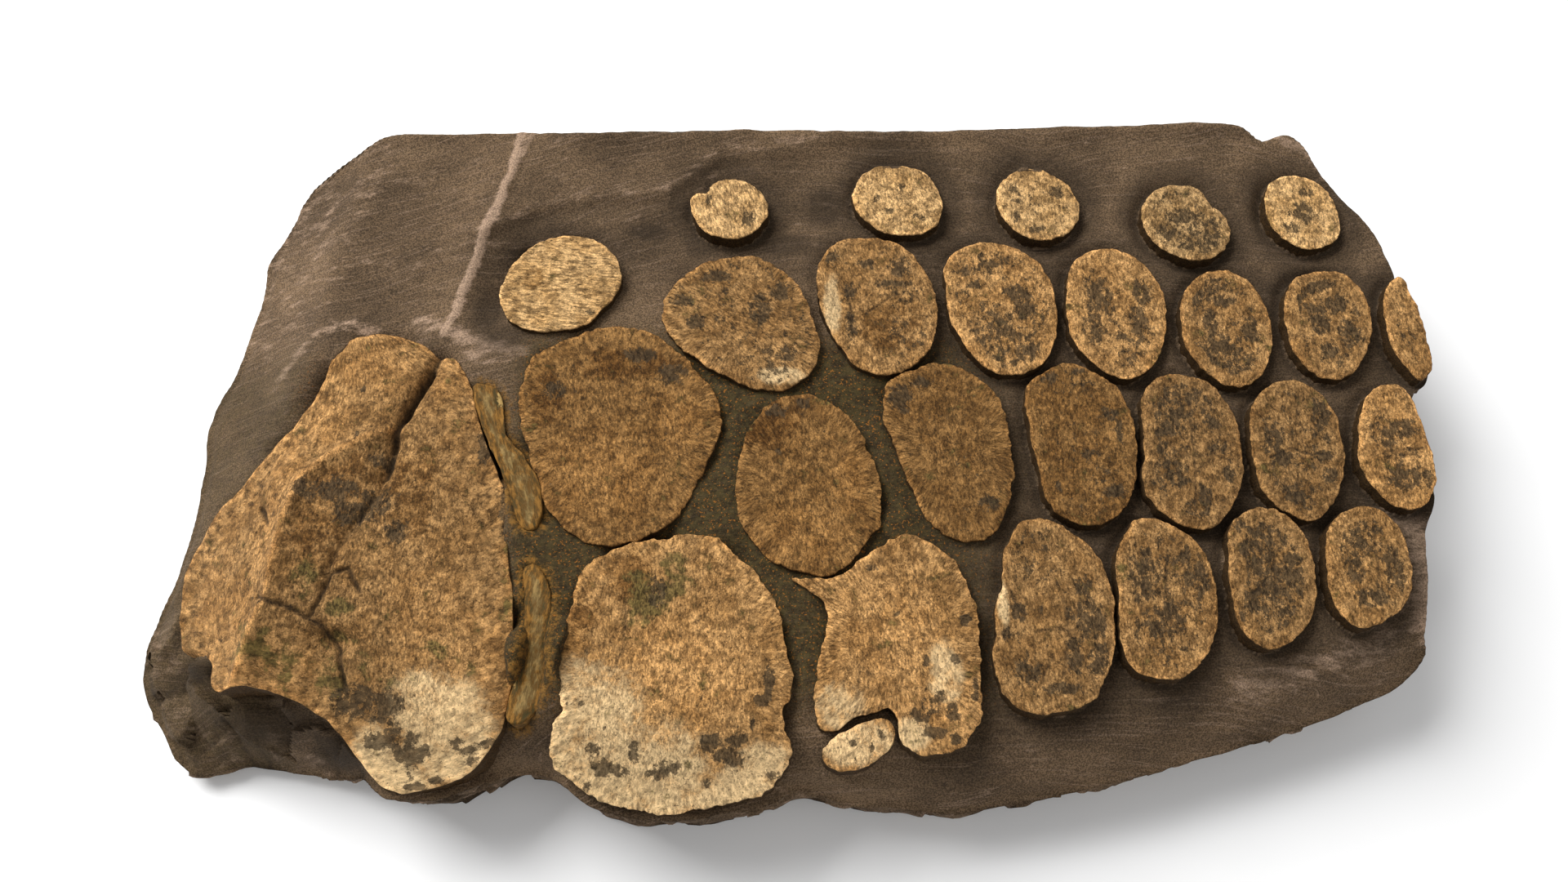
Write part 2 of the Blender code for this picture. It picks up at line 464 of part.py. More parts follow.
def humerus():
    """The big bone of the fin: a ridge, a flank that falls to the left, and one deep groove."""
    edge = smooth_loop(HUMERUS_EDGE, HUMERUS_FACET)
    count = len(edge)
    face = HUMERUS_CREST + HUMERUS_FACE
    level = thin_plate(HUMERUS_EDGE + face)
    groove = np.array(HUMERUS_GROOVE, float)
    along = np.gradient(groove[:, :2], axis=0)
    across = np.column_stack([-along[:, 1], along[:, 0]])
    across *= GROOVE_HALF_WIDTH / np.linalg.norm(across, axis=1)[:, None]
    banks = np.vstack([groove[:, :2] + across, groove[:, :2] - across])
    loose = np.vstack([np.array(face)[:, :2], banks, groove[:, :2]])
    triangles, centres = triangulated([edge], loose)
    kept = holds(edge, centres)
    heights = level(loose)
    heights[-len(groove):] -= groove[:, 2]
    top = np.vstack([edge, np.column_stack([loose, heights])])
    bottom = np.column_stack([edge[:, :2], np.full(count, HUMERUS_FLOOR)])
    floor_start = len(top)
    faces = [tuple(triangle) for triangle, keep in zip(triangles, kept) if keep]
    faces += ring_faces(floor_start, 0, count)
    faces.append(tuple(range(floor_start, floor_start + count)))
    add_solid("humerus", np.vstack([top, bottom]), faces, TAN)
    return edge, HUMERUS_FLOOR


def matrix_slab(beds):
    """The shale around the bones, with a bed cut into it for each bone and seam."""
    rim = counter_clockwise(np.array(SLAB_RIM, float))
    level = thin_plate(SLAB_RIM + GROUND)
    pockets = [grown(loop, CLEARANCE) for loop, _ in beds]
    triangles, centres = triangulated([rim] + pockets, GROUND)
    within = holds(rim, centres)
    owners = np.full(len(centres), -1)
    for i in range(len(pockets)):
        owners[holds(pockets[i], centres)] = i
    plan = np.vstack([loop[:, :2] for loop in [rim] + pockets] + [np.array(GROUND)[:, :2]])
    top = np.column_stack([plan, level(plan)])
    points = [top]
    faces = []
    for triangle, owner, keep in zip(triangles, owners, within):
        if keep and owner < 0:
            faces.append(tuple(triangle))
    total = len(top)
    start = len(rim)
    for i in range(len(pockets)):
        count = len(pockets[i])
        bed_level = beds[i][1] - CLEARANCE
        points.append(np.column_stack([pockets[i][:, :2], np.full(count, bed_level)]))
        faces += ring_faces(total, start, count)
        faces.append(tuple(range(total, total + count)))
        start += count
        total += count
    base = grown(rim, -UNDERCUT)
    base[:, 2] = 0.0
    points.append(base)
    faces += ring_faces(total, 0, len(rim))
    faces.append(tuple(range(total, total + len(rim))))
    add_solid("matrix_slab", np.vstack(points), faces, SHALE)


def main():
    clear_scene()
    beds = [humerus()]
    for name, (outline, depth, crown, colour) in BONES.items():
        beds.append(bone_disc(name, outline, depth, crown, colour))
    for name, outline in SEAMS.items():
        beds.append(calcite_seam(name, outline))
    matrix_slab(beds)


main()
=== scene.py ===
"""The visual model of an ichthyosaur's forefin in its slab of dark shale.

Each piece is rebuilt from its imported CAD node: the outline comes from the node's upper edge and the
levels from rays cast down onto it. Relief, chipped edges and masks for the colours are then added by
formulas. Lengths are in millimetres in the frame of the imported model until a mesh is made.
"""

import bmesh
import bpy
import numpy as np
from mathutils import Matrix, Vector
from mathutils.bvhtree import BVHTree


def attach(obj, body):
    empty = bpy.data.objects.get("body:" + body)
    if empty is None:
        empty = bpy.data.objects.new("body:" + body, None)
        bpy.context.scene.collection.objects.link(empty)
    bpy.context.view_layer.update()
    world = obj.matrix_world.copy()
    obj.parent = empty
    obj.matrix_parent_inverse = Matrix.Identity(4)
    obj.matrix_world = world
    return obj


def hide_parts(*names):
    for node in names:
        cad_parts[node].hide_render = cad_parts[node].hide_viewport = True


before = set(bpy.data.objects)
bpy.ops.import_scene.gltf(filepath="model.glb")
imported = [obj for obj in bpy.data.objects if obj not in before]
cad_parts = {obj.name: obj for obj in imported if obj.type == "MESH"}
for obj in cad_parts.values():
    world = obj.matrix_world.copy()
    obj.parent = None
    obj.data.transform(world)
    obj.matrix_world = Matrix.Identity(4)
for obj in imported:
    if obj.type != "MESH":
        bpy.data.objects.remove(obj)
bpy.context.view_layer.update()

MM = 0.001
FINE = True

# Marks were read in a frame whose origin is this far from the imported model's.
READING_ORIGIN = np.array([3.0, 2.5])

# The photo's camera stands here in millimetres, tilted by this many degrees from straight down.
CAMERA_PLACE = (-3.0, -190.2, 524.5)
CAMERA_TILT = 22.0
CAMERA_LENS = 27.825
SENSOR_WIDTH = 36.0

BONE_STEP = 1.0 if FINE else 1.6
HUMERUS_STEP = 1.15 if FINE else 2.0
SLAB_STEP = 1.5 if FINE else 2.4
# Levels are read by rays this far apart, from this high, up to this far past an outline.
RAY_STEP = 2.0
RAY_TOP = 500.0
RAY_MARGIN = 8.0
# Far from any ray that hit, levels come from a blur this wide.
FAR_BLUR = 20.0
# Fibres that fan out are as wide as on a ring of this radius. A squeezed place makes them long.
FAN_RADIUS = 32.0
FAN_SQUEEZE = 0.35
# A point belongs to the underside up to this far above the lowest level.
LOWEST_SIDE = 0.05
FAR = 1e9


def read(x, y):
    """A place as it was read from the photo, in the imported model's frame."""
    return np.array([x, y], float) - READING_ORIGIN


# Numbers without order


def lattice(ix, iy, seed):
    """A repeatable number from 0 to 1 for each pair of whole numbers."""
    n = (ix * 374761393 + iy * 668265263 + seed * 974634541) & 0xFFFFFFFF
    n = ((n ^ (n >> 13)) * 1274126177) & 0xFFFFFFFF
    return ((n ^ (n >> 16)) & 0xFFFF) / 65535.0


def patches(xy, size, seed, octaves=1, roughness=0.5):
    """Smooth random patches from -1 to 1, of about the given size, with finer ones on top.

    Each kind of patch in this file has a seed of its own.
    """
    total = np.zeros(len(xy))
    weight = 1.0
    reach = 0.0
    x, y = xy[:, 0] / size, xy[:, 1] / size
    for octave in range(octaves):
        u, v = 0.8 * x + 0.6 * y + 31.7 * octave, -0.6 * x + 0.8 * y + 11.3 * octave
        iu, iv = np.floor(u).astype(np.int64), np.floor(v).astype(np.int64)
        fu, fv = u - iu, v - iv
        su, sv = fu * fu * (3 - 2 * fu), fv * fv * (3 - 2 * fv)
        corners = [lattice(iu + a, iv + b, seed + octave) for a, b in ((0, 0), (1, 0), (0, 1), (1, 1))]
        near = corners[0] * (1 - su) + corners[1] * su
        far = corners[2] * (1 - su) + corners[3] * su
        total += weight * (2 * (near * (1 - sv) + far * sv) - 1)
        reach += weight
        weight *= roughness
        x, y = 2 * u, 2 * v
    return total / reach


def splintered(xy, size, slope, seed):
    """The levels of flat chips, each of about the given size and tilted its own way."""
    cell = np.floor(xy / size).astype(np.int64)
    nearest = np.full(len(xy), FAR)
    level = np.zeros(len(xy))
    for step in ((i, j) for i in (-1, 0, 1) for j in (-1, 0, 1)):
        ix, iy = (cell + step).T
        heart = size * np.column_stack([ix + lattice(ix, iy, seed), iy + lattice(ix, iy, seed + 1)])
        away = np.linalg.norm(xy - heart, axis=1)
        turn = 2 * np.pi * lattice(ix, iy, seed + 2)
        tilt = slope * ((xy - heart) * np.column_stack([np.cos(turn), np.sin(turn)])).sum(1)
        level = np.where(away < nearest, tilt, level)
        nearest = np.minimum(nearest, away)
    return level


def ease(value, low, high):
    """0 below low, 1 above high and a smooth step between them."""
    t = np.clip((value - low) / (high - low), 0.0, 1.0)
    return t * t * (3 - 2 * t)


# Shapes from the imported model


def cad_shell(name):
    """A CAD node's mesh in millimetres, with split corners joined again."""
    shell = bmesh.new()
    shell.from_mesh(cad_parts[name].data)
    bmesh.ops.scale(shell, vec=(1 / MM,) * 3, verts=shell.verts)
    bmesh.ops.remove_doubles(shell, verts=shell.verts, dist=0.001)
    shell.normal_update()
    return shell


def lowest_level(shell):
    return min(vert.co.z for vert in shell.verts)


def upper_edge(shell):
    """The closed loop where a node's upright side meets its upper face, counter-clockwise."""
    lowest = lowest_level(shell)
    side = {face for vert in shell.verts if vert.co.z < lowest + LOWEST_SIDE for face in vert.link_faces}
    links = {}
    for edge in shell.edges:
        if sum(face in side for face in edge.link_faces) == 1:
            a, b = edge.verts
            links.setdefault(a, []).append(b)
            links.setdefault(b, []).append(a)
    start = next(iter(links))
    loop, last, here = [start], None, start
    while True:
        step = [vert for vert in links[here] if vert is not last][0]
        if step is start:
            break
        loop.append(step)
        last, here = here, step
    points = np.array([vert.co for vert in loop])
    after = np.roll(points, -1, axis=0)
    area = np.sum(points[:, 0] * after[:, 1] - after[:, 0] * points[:, 1])
    return points if area > 0 else points[::-1]


def smooth_loop(points, step):
    """A smooth closed curve through the points, in equal steps."""
    curve = []
    count = len(points)
    for i in range(count):
        a, b, c, d = (points[(i + k) % count] for k in (-1, 0, 1, 2))
        for t in np.linspace(0, 1, 8, endpoint=False):
            curve.append(0.5 * (2 * b + (c - a) * t + (2 * a - 5 * b + 4 * c - d) * t**2
                                + (3 * b - a - 3 * c + d) * t**3))
    return resampled(np.array(curve + curve[:1]), step=step)


def resampled(line, count=None, step=None):
    """A line cut anew into a number of points, or into steps without the end of a closed curve."""
    walked = np.concatenate([[0], np.cumsum(np.linalg.norm(np.diff(line, axis=0), axis=1))])
    stops = np.linspace(0, walked[-1], count or round(walked[-1] / step), endpoint=step is None)
    return np.column_stack([np.interp(stops, walked, column) for column in line.T])


def outwards(loop):
    """The level direction out of a counter-clockwise loop at each of its points."""
    along = np.roll(loop, -1, axis=0)[:, :2] - np.roll(loop, 1, axis=0)[:, :2]
    normal = np.column_stack([along[:, 1], -along[:, 0]])
    return normal / np.linalg.norm(normal, axis=1)[:, None]


def inside(loop, xy):
    """Whether each place is inside a loop."""
    found = np.zeros(len(xy), bool)
    for start, end in zip(loop, np.roll(loop, -1, axis=0)):
        rise = end[1] - start[1]
        if rise:
            crosses = (start[1] > xy[:, 1]) != (end[1] > xy[:, 1])
            reach = start[0] + (xy[:, 1] - start[1]) * (end[0] - start[0]) / rise
            found ^= crosses & (xy[:, 0] < reach)
    return found


def distance(xy, line, closed=True):
    """The distance from each place to a line of points."""
    line = np.asarray(line, float)[:, :2]
    ends = np.roll(line, -1, axis=0) if closed else line[1:]
    starts = line if closed else line[:-1]
    best = np.full(len(xy), FAR)
    for start, end in zip(starts, ends):
        along = end - start
        share = np.clip((xy - start) @ along / max(along @ along, 1e-9), 0, 1)
        gap = xy - start - share[:, None] * along
        best = np.minimum(best, np.einsum("ij,ij->i", gap, gap))
    return np.sqrt(best)


def blurred(grid, cells):
    """A grid smoothed over a number of cells."""
    reach = int(3 * cells) + 1
    kernel = np.exp(-0.5 * (np.arange(-reach, reach + 1) / cells) ** 2)
    kernel /= kernel.sum()
    for axis in (0, 1):
        grid = np.apply_along_axis(lambda row: np.convolve(np.pad(row, reach), kernel, "valid"), axis, grid)
    return grid


class Levels:
    """The upper face of a CAD node as a grid of levels, blurred to hide its facets."""

    def __init__(self, shell, edge, softness, skipped=()):
        tree = BVHTree.FromBMesh(shell)
        low, high = edge[:, :2].min(0) - RAY_MARGIN, edge[:, :2].max(0) + RAY_MARGIN
        self.low = low
        counts = np.ceil((high - low) / RAY_STEP).astype(int) + 1
        xs, ys = (low[k] + RAY_STEP * np.arange(counts[k]) for k in (0, 1))
        places = np.array([(x, y) for x in xs for y in ys])
        known = inside(edge, places)
        for loop in skipped:
            known &= ~inside(loop, places)
        levels = np.zeros(len(places))
        for i in np.flatnonzero(known):
            hit = tree.ray_cast(Vector((*places[i], RAY_TOP)), Vector((0, 0, -1)))[0]
            if hit is None:
                known[i] = False
            else:
                levels[i] = hit.z
        known = known.astype(float).reshape(counts)
        levels = levels.reshape(counts) * known
        near = blurred(known, softness / RAY_STEP)
        far = blurred(known, FAR_BLUR / RAY_STEP)
        close_levels = blurred(levels, softness / RAY_STEP) / np.maximum(near, 1e-6)
        far_levels = blurred(levels, FAR_BLUR / RAY_STEP) / np.maximum(far, 1e-9)
        trust = ease(near, 0.02, 0.2)
        self.grid = close_levels * trust + far_levels * (1 - trust)

    def at(self, xy):
        u, v = ((xy - self.low) / RAY_STEP).T
        u = np.clip(u, 0, self.grid.shape[0] - 1.001)
        v = np.clip(v, 0, self.grid.shape[1] - 1.001)
        i, j = u.astype(int), v.astype(int)
        fu, fv = u - i, v - j
        g = self.grid
        return ((g[i, j] * (1 - fu) + g[i + 1, j] * fu) * (1 - fv)
                + (g[i, j + 1] * (1 - fu) + g[i + 1, j + 1] * fu) * fv)


# Meshes


def add_piece(name, points, faces, masks, material):
    """A visible piece in place of the CAD node of that name."""
    mesh = bpy.data.meshes.new(name)
    mesh.from_pydata((np.asarray(points) * MM).tolist(), [], faces)
    for mask, values in masks.items():
        mesh.attributes.new(mask, "FLOAT", "POINT").data.foreach_set("value", np.asarray(values, np.float32))
    mesh.shade_smooth()
    mesh.materials.append(material)
    piece = bpy.data.objects.new(f"{name}_surface", mesh)
    bpy.context.scene.collection.objects.link(piece)
    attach(piece, "root")
    return piece


def ring_quads(outer, inner, count):
    """The faces between two rings, given the number of each ring's first point."""
    return [(outer + i, outer + (i + 1) % count, inner + (i + 1) % count, inner + i) for i in range(count)]


# The rows of a side crowd towards its top. Its lumps are this large if its points are this far apart.
SIDE_CROWDING = 1.5
SIDE_POINT_STEP = 0.9
SIDE_LUMP = 4.0


class Disc:
    """Points over an outline in rings that shrink to its centre, and the side below its edge."""

    def __init__(self, edge, step, side_rows, rim_steps=(0.0, 0.35, 0.8, 1.4, 2.1, 3.0)):
        self.count = len(edge)
        centre = edge[:, :2].mean(0)
        radius = np.linalg.norm(edge[:, :2] - centre, axis=1).mean()
        inner = np.linspace(rim_steps[-1], radius, round((radius - rim_steps[-1]) / step), endpoint=False)
        fractions = [1 - s / radius for s in (*rim_steps, *inner[1:])]
        rings = [centre + (edge[:, :2] - centre) * f for f in fractions]
        self.top = np.vstack(rings + [centre[None]])
        self.rings = len(rings)
        self.rows = side_rows

    def solid(self, name, levels, floor, masks, material, bulge):
        """A closed piece: the upper face at the given levels, a rough side and a flat floor."""
        count, top_count = self.count, len(self.top)
        points = [np.column_stack([self.top, levels])]
        faces = [tuple(f) for k in range(self.rings - 1)
                 for f in ring_quads(k * count, (k + 1) * count, count)]
        last = (self.rings - 1) * count
        faces += [(last + i, last + (i + 1) % count, top_count - 1) for i in range(count)]
        edge = self.top[:count]
        normal = outwards(edge)
        above, total = 0, top_count
        for row in range(1, self.rows + 1):
            share = row / self.rows
            z = levels[:count] + (floor - levels[:count]) * share**SIDE_CROWDING
            place = np.column_stack([np.arange(count) * SIDE_POINT_STEP, z])
            out = bulge * patches(place, SIDE_LUMP, 5 + len(name), 2) * min(1, 3 * share)
            points.append(np.column_stack([edge + normal * out[:, None], z]))
            faces += [(b, a, d, c) for a, b, c, d in ring_quads(above, total, count)]
            above = total
            total += count
        faces.append(tuple(above + i for i in reversed(range(count))))
        stretched = {mask: np.concatenate([values, np.tile(values[:count], self.rows)])
                     for mask, values in masks.items()}
        side = np.concatenate([np.zeros(top_count), np.repeat(np.arange(1, self.rows + 1), count)])
        stretched["side"] = np.minimum(1.0, side)
        return add_piece(name, np.vstack(points), faces, stretched, material)


# Materials


class Nodes:
    """A small helper that adds and wires shader nodes."""

    def __init__(self, name):
        self.material = bpy.data.materials.new(name)
        self.material.use_nodes = True
        self.tree = self.material.node_tree
        self.shader = self.tree.nodes["Principled BSDF"]
        self.place = self.add("ShaderNodeTexCoord", {})["Object"]

    def add(self, kind, inputs, **values):
        """The outputs of a new node whose inputs are wired or set."""
        node = self.tree.nodes.new(kind)
        for key, value in values.items():
            setattr(node, key, value)
        for key, value in inputs.items():
            self.wire(value, node.inputs[key])
        return node.outputs

    def wire(self, value, socket):
        if isinstance(value, bpy.types.NodeSocket):
            self.tree.links.new(value, socket)
        elif isinstance(value, tuple) and len(value) == 3 and len(socket.default_value) == 4:
            socket.default_value = (*value, 1.0)
        else:
            socket.default_value = value

    def mask(self, name):
        return self.add("ShaderNodeAttribute", {}, attribute_name=name)["Fac"]

    def stretched(self, along, turn=0.0):
        """A place in which patterns are so many times longer along the Y axis, turned about Z."""
        inputs = {"Vector": self.place, "Scale": (1.0, along, 1.0), "Rotation": (0.0, 0.0, turn)}
        return self.add("ShaderNodeMapping", inputs, vector_type="TEXTURE")["Vector"]

    def noise(self, size_mm, detail=4.0, roughness=0.55, place=None, distortion=0.0):
        inputs = {"Vector": place or self.place, "Scale": 1 / (size_mm * MM), "Detail": detail,
                  "Roughness": roughness, "Distortion": distortion}
        return self.add("ShaderNodeTexNoise", inputs)["Fac"]

    def math(self, operation, a, b=0.0):
        return self.add("ShaderNodeMath", {0: a, 1: b}, operation=operation)[0]

    def times(self, a, b):
        return self.math("MULTIPLY", a, b)

    def plus(self, a, b):
        return self.math("ADD", a, b)

    def split(self, vector):
        """The X and Y of a vector."""
        return tuple(self.add("ShaderNodeSeparateXYZ", {0: vector}))[:2]

    def join(self, x, y, z=0.0):
        return self.add("ShaderNodeCombineXYZ", {0: x, 1: y, 2: z})[0]

    def ease(self, value, low, high):
        inputs = {"Value": value, "From Min": low, "From Max": high}
        return self.add("ShaderNodeMapRange", inputs, interpolation_type="SMOOTHSTEP")["Result"]

    def ramp(self, value, stops):
        node = self.tree.nodes.new("ShaderNodeValToRGB")
        self.wire(value, node.inputs["Fac"])
        elements = node.color_ramp.elements
        while len(elements) < len(stops):
            elements.new(0.5)
        for element, (position, colour) in zip(elements, stops):
            element.position = position
            element.color = (*colour, 1.0)
        return node.outputs["Color"]

    def shades(self, value, colour, *stops):
        """A ramp of one colour, with the position and the gain of each stop."""
        return self.ramp(value, [(position, shade(colour, gain)) for position, gain in stops])

    def mix(self, share, a, b, blend="MIX"):
        return self.add("ShaderNodeMix", {0: share, 6: a, 7: b}, data_type="RGBA", blend_type=blend)[2]

    def blend(self, share, a, b):
        return self.add("ShaderNodeMix", {0: share, 2: a, 3: b}, data_type="FLOAT")[0]

    def tinted(self, colour, tint):
        return self.mix(1.0, colour, tint, "MULTIPLY")

    def over(self, colour, paint, share, strength=1.0):
        """A colour with a paint over it where the share is high."""
        if strength != 1.0:
            share = self.times(share, strength)
        return self.mix(share, colour, paint)

    def stained(self, colour, tint, share, strength=1.0):
        return self.over(colour, self.tinted(colour, tint), share, strength)

    def ragged(self, mask, noise, spread, low, high):
        """A mask whose border is broken up by a noise, and more so with a larger spread."""
        uneven = self.times(self.math("SUBTRACT", noise, 0.5), spread)
        cover = self.math("SUBTRACT", self.times(self.mask(mask), 1.5), 0.5)
        return self.ease(self.plus(cover, uneven), low, high)

    def fanned(self, focus):
        """A place in which X goes round the focus and Y goes away from it, for fibres that fan out."""
        inputs = {0: self.place, 1: (focus[0] * MM, focus[1] * MM, 0.0)}
        x, y = self.split(self.add("ShaderNodeVectorMath", inputs, operation="SUBTRACT")[0])
        away = self.math("SQRT", self.plus(self.times(x, x), self.times(y, y)))
        around = self.math("ARCTAN2", y, x)
        return self.join(self.times(around, FAN_RADIUS * MM), self.times(away, FAN_SQUEEZE))

    def along_flow(self, squeeze):
        """A place that is squeezed along the curved lines on which the flow mask stays the same."""
        x, y = self.split(self.place)
        return self.join(self.times(x, squeeze), self.times(self.mask("flow"), MM), self.times(y, squeeze))

    def finish(self, colour, height, bump_mm, roughness):
        bump = self.add("ShaderNodeBump", {"Distance": bump_mm * MM, "Height": height})["Normal"]
        looks = {"Normal": bump, "Base Color": colour, "Roughness": roughness, "Specular IOR Level": 0.15}
        for key, value in looks.items():
            self.wire(value, self.shader.inputs[key])
        return self.material


def shade(colour, gain):
    """A colour made darker or lighter."""
    return tuple(channel * gain for channel in colour)


# Colours as linear red, green and blue.
BROWN = (0.228, 0.120, 0.039)
TAN = (0.325, 0.182, 0.069)
STRAW = (0.63, 0.395, 0.175)
CREAM = (0.70, 0.485, 0.245)
SOOT = (0.040, 0.027, 0.014)
SHALE = (0.138, 0.090, 0.051)
PALE_SHALE = (0.36, 0.245, 0.165)
CRACK_AND_SHADE_DARK = (0.026, 0.018, 0.011)
MOSS = (0.050, 0.037, 0.011)
RUST = (0.34, 0.13, 0.02)
ORANGE = (0.30, 0.145, 0.028)
SAND = (0.31, 0.20, 0.068)
# Tints that a colour is multiplied by.
WRINKLE_TINT = (0.36, 0.32, 0.26)
PATCH_LIGHT = (1.26, 1.25, 1.22)
PATCH_DARK = (0.70, 0.67, 0.62)
CLOUD_TINT = (0.76, 0.72, 0.65)
GRIT_DARK = (0.42, 0.39, 0.34)
GRIT_LIGHT = (1.6, 1.6, 1.6)
UMBER_AND_SHADE_TINT = (0.62, 0.56, 0.46)
LIT_TINT = (1.75, 1.65, 1.55)
GLOW_TINT = (1.28, 1.26, 1.24)
STREAK_DARK = (0.95, 0.95, 0.95)
STREAK_LIGHT = (1.08, 1.07, 1.06)
SHALE_GRIT_DARK = (0.56, 0.56, 0.56)
SHALE_GRIT_LIGHT = (1.5, 1.48, 1.45)
# A bone's grain is this many times longer than wide, and longer in some.
GRAIN_LENGTH = 2.2
LONG_GRAIN = {"pisiform": 5.0, "metacarpal_5": 3.5}
STONE_ROUGHNESS = 0.85
CALCITE_ROUGHNESS = 0.7


def bone_material(name, tone, turn=0.0, focus=None, stretch=GRAIN_LENGTH):
    """Fossil bone: a fibrous tan skin, darker patches with ragged borders, dark cracks, painted highlights
    and painted shade on its sides.

    The fibres lie along a turned Y axis, and near the margin they fan out from a focus if there is one.
    """
    n = Nodes(name)
    fibres = n.noise(1.0, 5, 0.7, n.stretched(stretch, turn), 0.4)
    folds = n.noise(2.8, 6, 0.6, n.stretched(stretch, turn), 0.8)
    if focus is not None:
        fibres = n.blend(n.mask("margin"), fibres, n.noise(1.1, 5, 0.7, n.fanned(focus)))
        folds = n.blend(n.mask("margin"), folds, n.noise(3.4, 6, 0.6, n.fanned(focus), 0.4))
    wrinkle = n.ease(n.math("ABSOLUTE", n.math("SUBTRACT", folds, 0.5)), 0.016, 0.0)
    grit = n.noise(0.7, 4, 0.8)
    cloud = n.noise(13.0, 6, 0.62)
    colour = n.shades(fibres, tone, (0.36, 0.42), (0.45, 0.84), (0.54, 1.22), (0.64, 1.8))
    patch = n.noise(4.5, 6, 0.7)
    border = n.noise(9.0, 8, 0.7)
    blotch = n.noise(2.6, 7, 0.8, n.stretched(1.4, turn))
    colour = n.stained(colour, WRINKLE_TINT, wrinkle, 0.75)
    colour = n.mix(n.ease(patch, 0.44, 0.57), n.tinted(colour, PATCH_LIGHT), n.tinted(colour, PATCH_DARK))
    colour = n.stained(colour, CLOUD_TINT, n.ease(cloud, 0.42, 0.60))
    colour = n.stained(colour, GRIT_DARK, n.ease(grit, 0.51, 0.57), 0.36)
    colour = n.stained(colour, GRIT_LIGHT, n.ease(grit, 0.48, 0.42), 0.32)
    # Darker brown: partly a brown stain and partly painted shade, as on the humerus right of its crest and
    # along the upper side of the ulna.
    colour = n.stained(colour, UMBER_AND_SHADE_TINT, n.ragged("umber_and_painted_shade", border, 5.0, -0.1, 1.1))
    bleached = n.times(n.ragged("pale", border, 6.0, -0.6, 1.3), n.ease(n.mask("pale"), 0.0, 0.6))
    chalk = n.shades(fibres, CREAM, (0.41, 0.6), (0.5, 1.02), (0.6, 1.45))
    colour = n.over(colour, chalk, bleached)
    moss = n.shades(fibres, MOSS, (0.41, 1.0), (0.6, 4.6))
    colour = n.over(colour, moss, n.ragged("moss", border, 7.0, 0.1, 0.9), 0.8)
    soot = n.shades(fibres, SOOT, (0.4, 0.5), (0.6, 2.6))
    blot = n.ragged("blot", n.noise(5.0, 8, 0.72), 6.0, 0.3, 0.6)
    stain = n.math("MAXIMUM", n.ragged("dark", blotch, 6.0, 0.36, 0.58), blot)
    colour = n.over(colour, soot, stain, 0.84)
    pits = n.ease(n.noise(0.9, 2, 0.5), 0.62, 0.69)
    colour = n.over(colour, SOOT, pits, 0.6)
    # Cracks are darkened; on the humerus this takes in the groove as painted shade.
    colour = n.over(colour, CRACK_AND_SHADE_DARK, n.mask("crack"), 0.8)
    # Painted highlight: the lit mask lightens the rim of each bone and the crest of the humerus.
    colour = n.stained(colour, LIT_TINT, n.mask("lit"), 0.55)
    # Painted highlight: the glow mask lightens places on the bones as if lit.
    colour = n.stained(colour, GLOW_TINT, n.mask("glow"))
    # Painted shade: the sides of each bone are painted dark brown.
    wall_shade = n.shades(grit, BROWN, (0.44, 0.13), (0.57, 0.42))
    wall_shade_cover = n.ease(n.plus(n.mask("side"), n.times(grit, 0.3)), 0.55, 1.0)
    colour = n.over(colour, wall_shade, wall_shade_cover)
    relief = n.plus(n.times(fibres, 0.7), n.times(wrinkle, -0.16))
    height = n.plus(relief, n.plus(patch, n.times(grit, -0.5)))
    return n.finish(colour, height, 1.2, STONE_ROUGHNESS)


def shale_material():
    """Dark shale: fine curved scratches, pale ridges that are partly painted highlight, amber stains, rust
    specks and painted shade.
    """
    n = Nodes("shale")
    flow = n.along_flow(0.035)
    cloud = n.noise(46.0, 6, 0.6)
    scratch = n.noise(0.9, 4, 0.6, flow, 0.3)
    streak = n.noise(4.2, 5, 0.6, n.along_flow(0.14), 0.6)
    grit = n.noise(0.7, 5, 0.75)
    colour = n.shades(cloud, SHALE, (0.38, 0.72), (0.62, 1.3))
    colour = n.mix(n.ease(streak, 0.42, 0.62), n.tinted(colour, STREAK_DARK), n.tinted(colour, STREAK_LIGHT))
    colour = n.over(colour, shade(PALE_SHALE, 0.75), n.ease(scratch, 0.55, 0.64), 0.42)
    grain = n.ease(grit, 0.44, 0.56)
    colour = n.mix(grain, n.tinted(colour, SHALE_GRIT_DARK), n.tinted(colour, SHALE_GRIT_LIGHT))
    # Pale shale, partly paler stone and partly painted highlight on ridges and edges.
    pale_and_highlight = n.shades(grit, PALE_SHALE, (0.42, 0.75), (0.58, 1.7))
    pale_and_highlight_cover = n.ragged("pale", n.noise(4.0, 7, 0.72, n.along_flow(0.4)), 4.5, -0.2, 1.1)
    colour = n.over(colour, pale_and_highlight, pale_and_highlight_cover, 0.94)
    fine = n.noise(3.0, 7, 0.75)
    moss = n.shades(fine, MOSS, (0.42, 0.38), (0.58, 1.3))
    colour = n.over(colour, moss, n.mask("moss"), 0.85)
    amber = n.ramp(fine, [(0.42, shade(MOSS, 1.2)), (0.5, shade(ORANGE, 0.5)), (0.58, shade(ORANGE, 1.2))])
    colour = n.over(colour, amber, n.ragged("amber", fine, 3.0, 0.0, 1.2), 0.7)
    rust = n.times(n.ease(n.noise(0.9, 2, 0.5), 0.60, 0.68), n.mask("rust"))
    colour = n.over(colour, RUST, rust, 0.85)
    # Painted shade: the hollow mask darkens the shale under and round the bones, in hollows and on the side.
    colour = n.over(colour, CRACK_AND_SHADE_DARK, n.mask("hollow"), 0.85)
    height = n.plus(n.times(scratch, 0.5), n.plus(streak, grit))
    return n.finish(colour, height, 0.8, STONE_ROUGHNESS)


# The veins in each seam are turned this far from the Y axis.
SEAM_TURNS = {"calcite_seam_upper": 0.3, "calcite_seam_lower": -0.14}


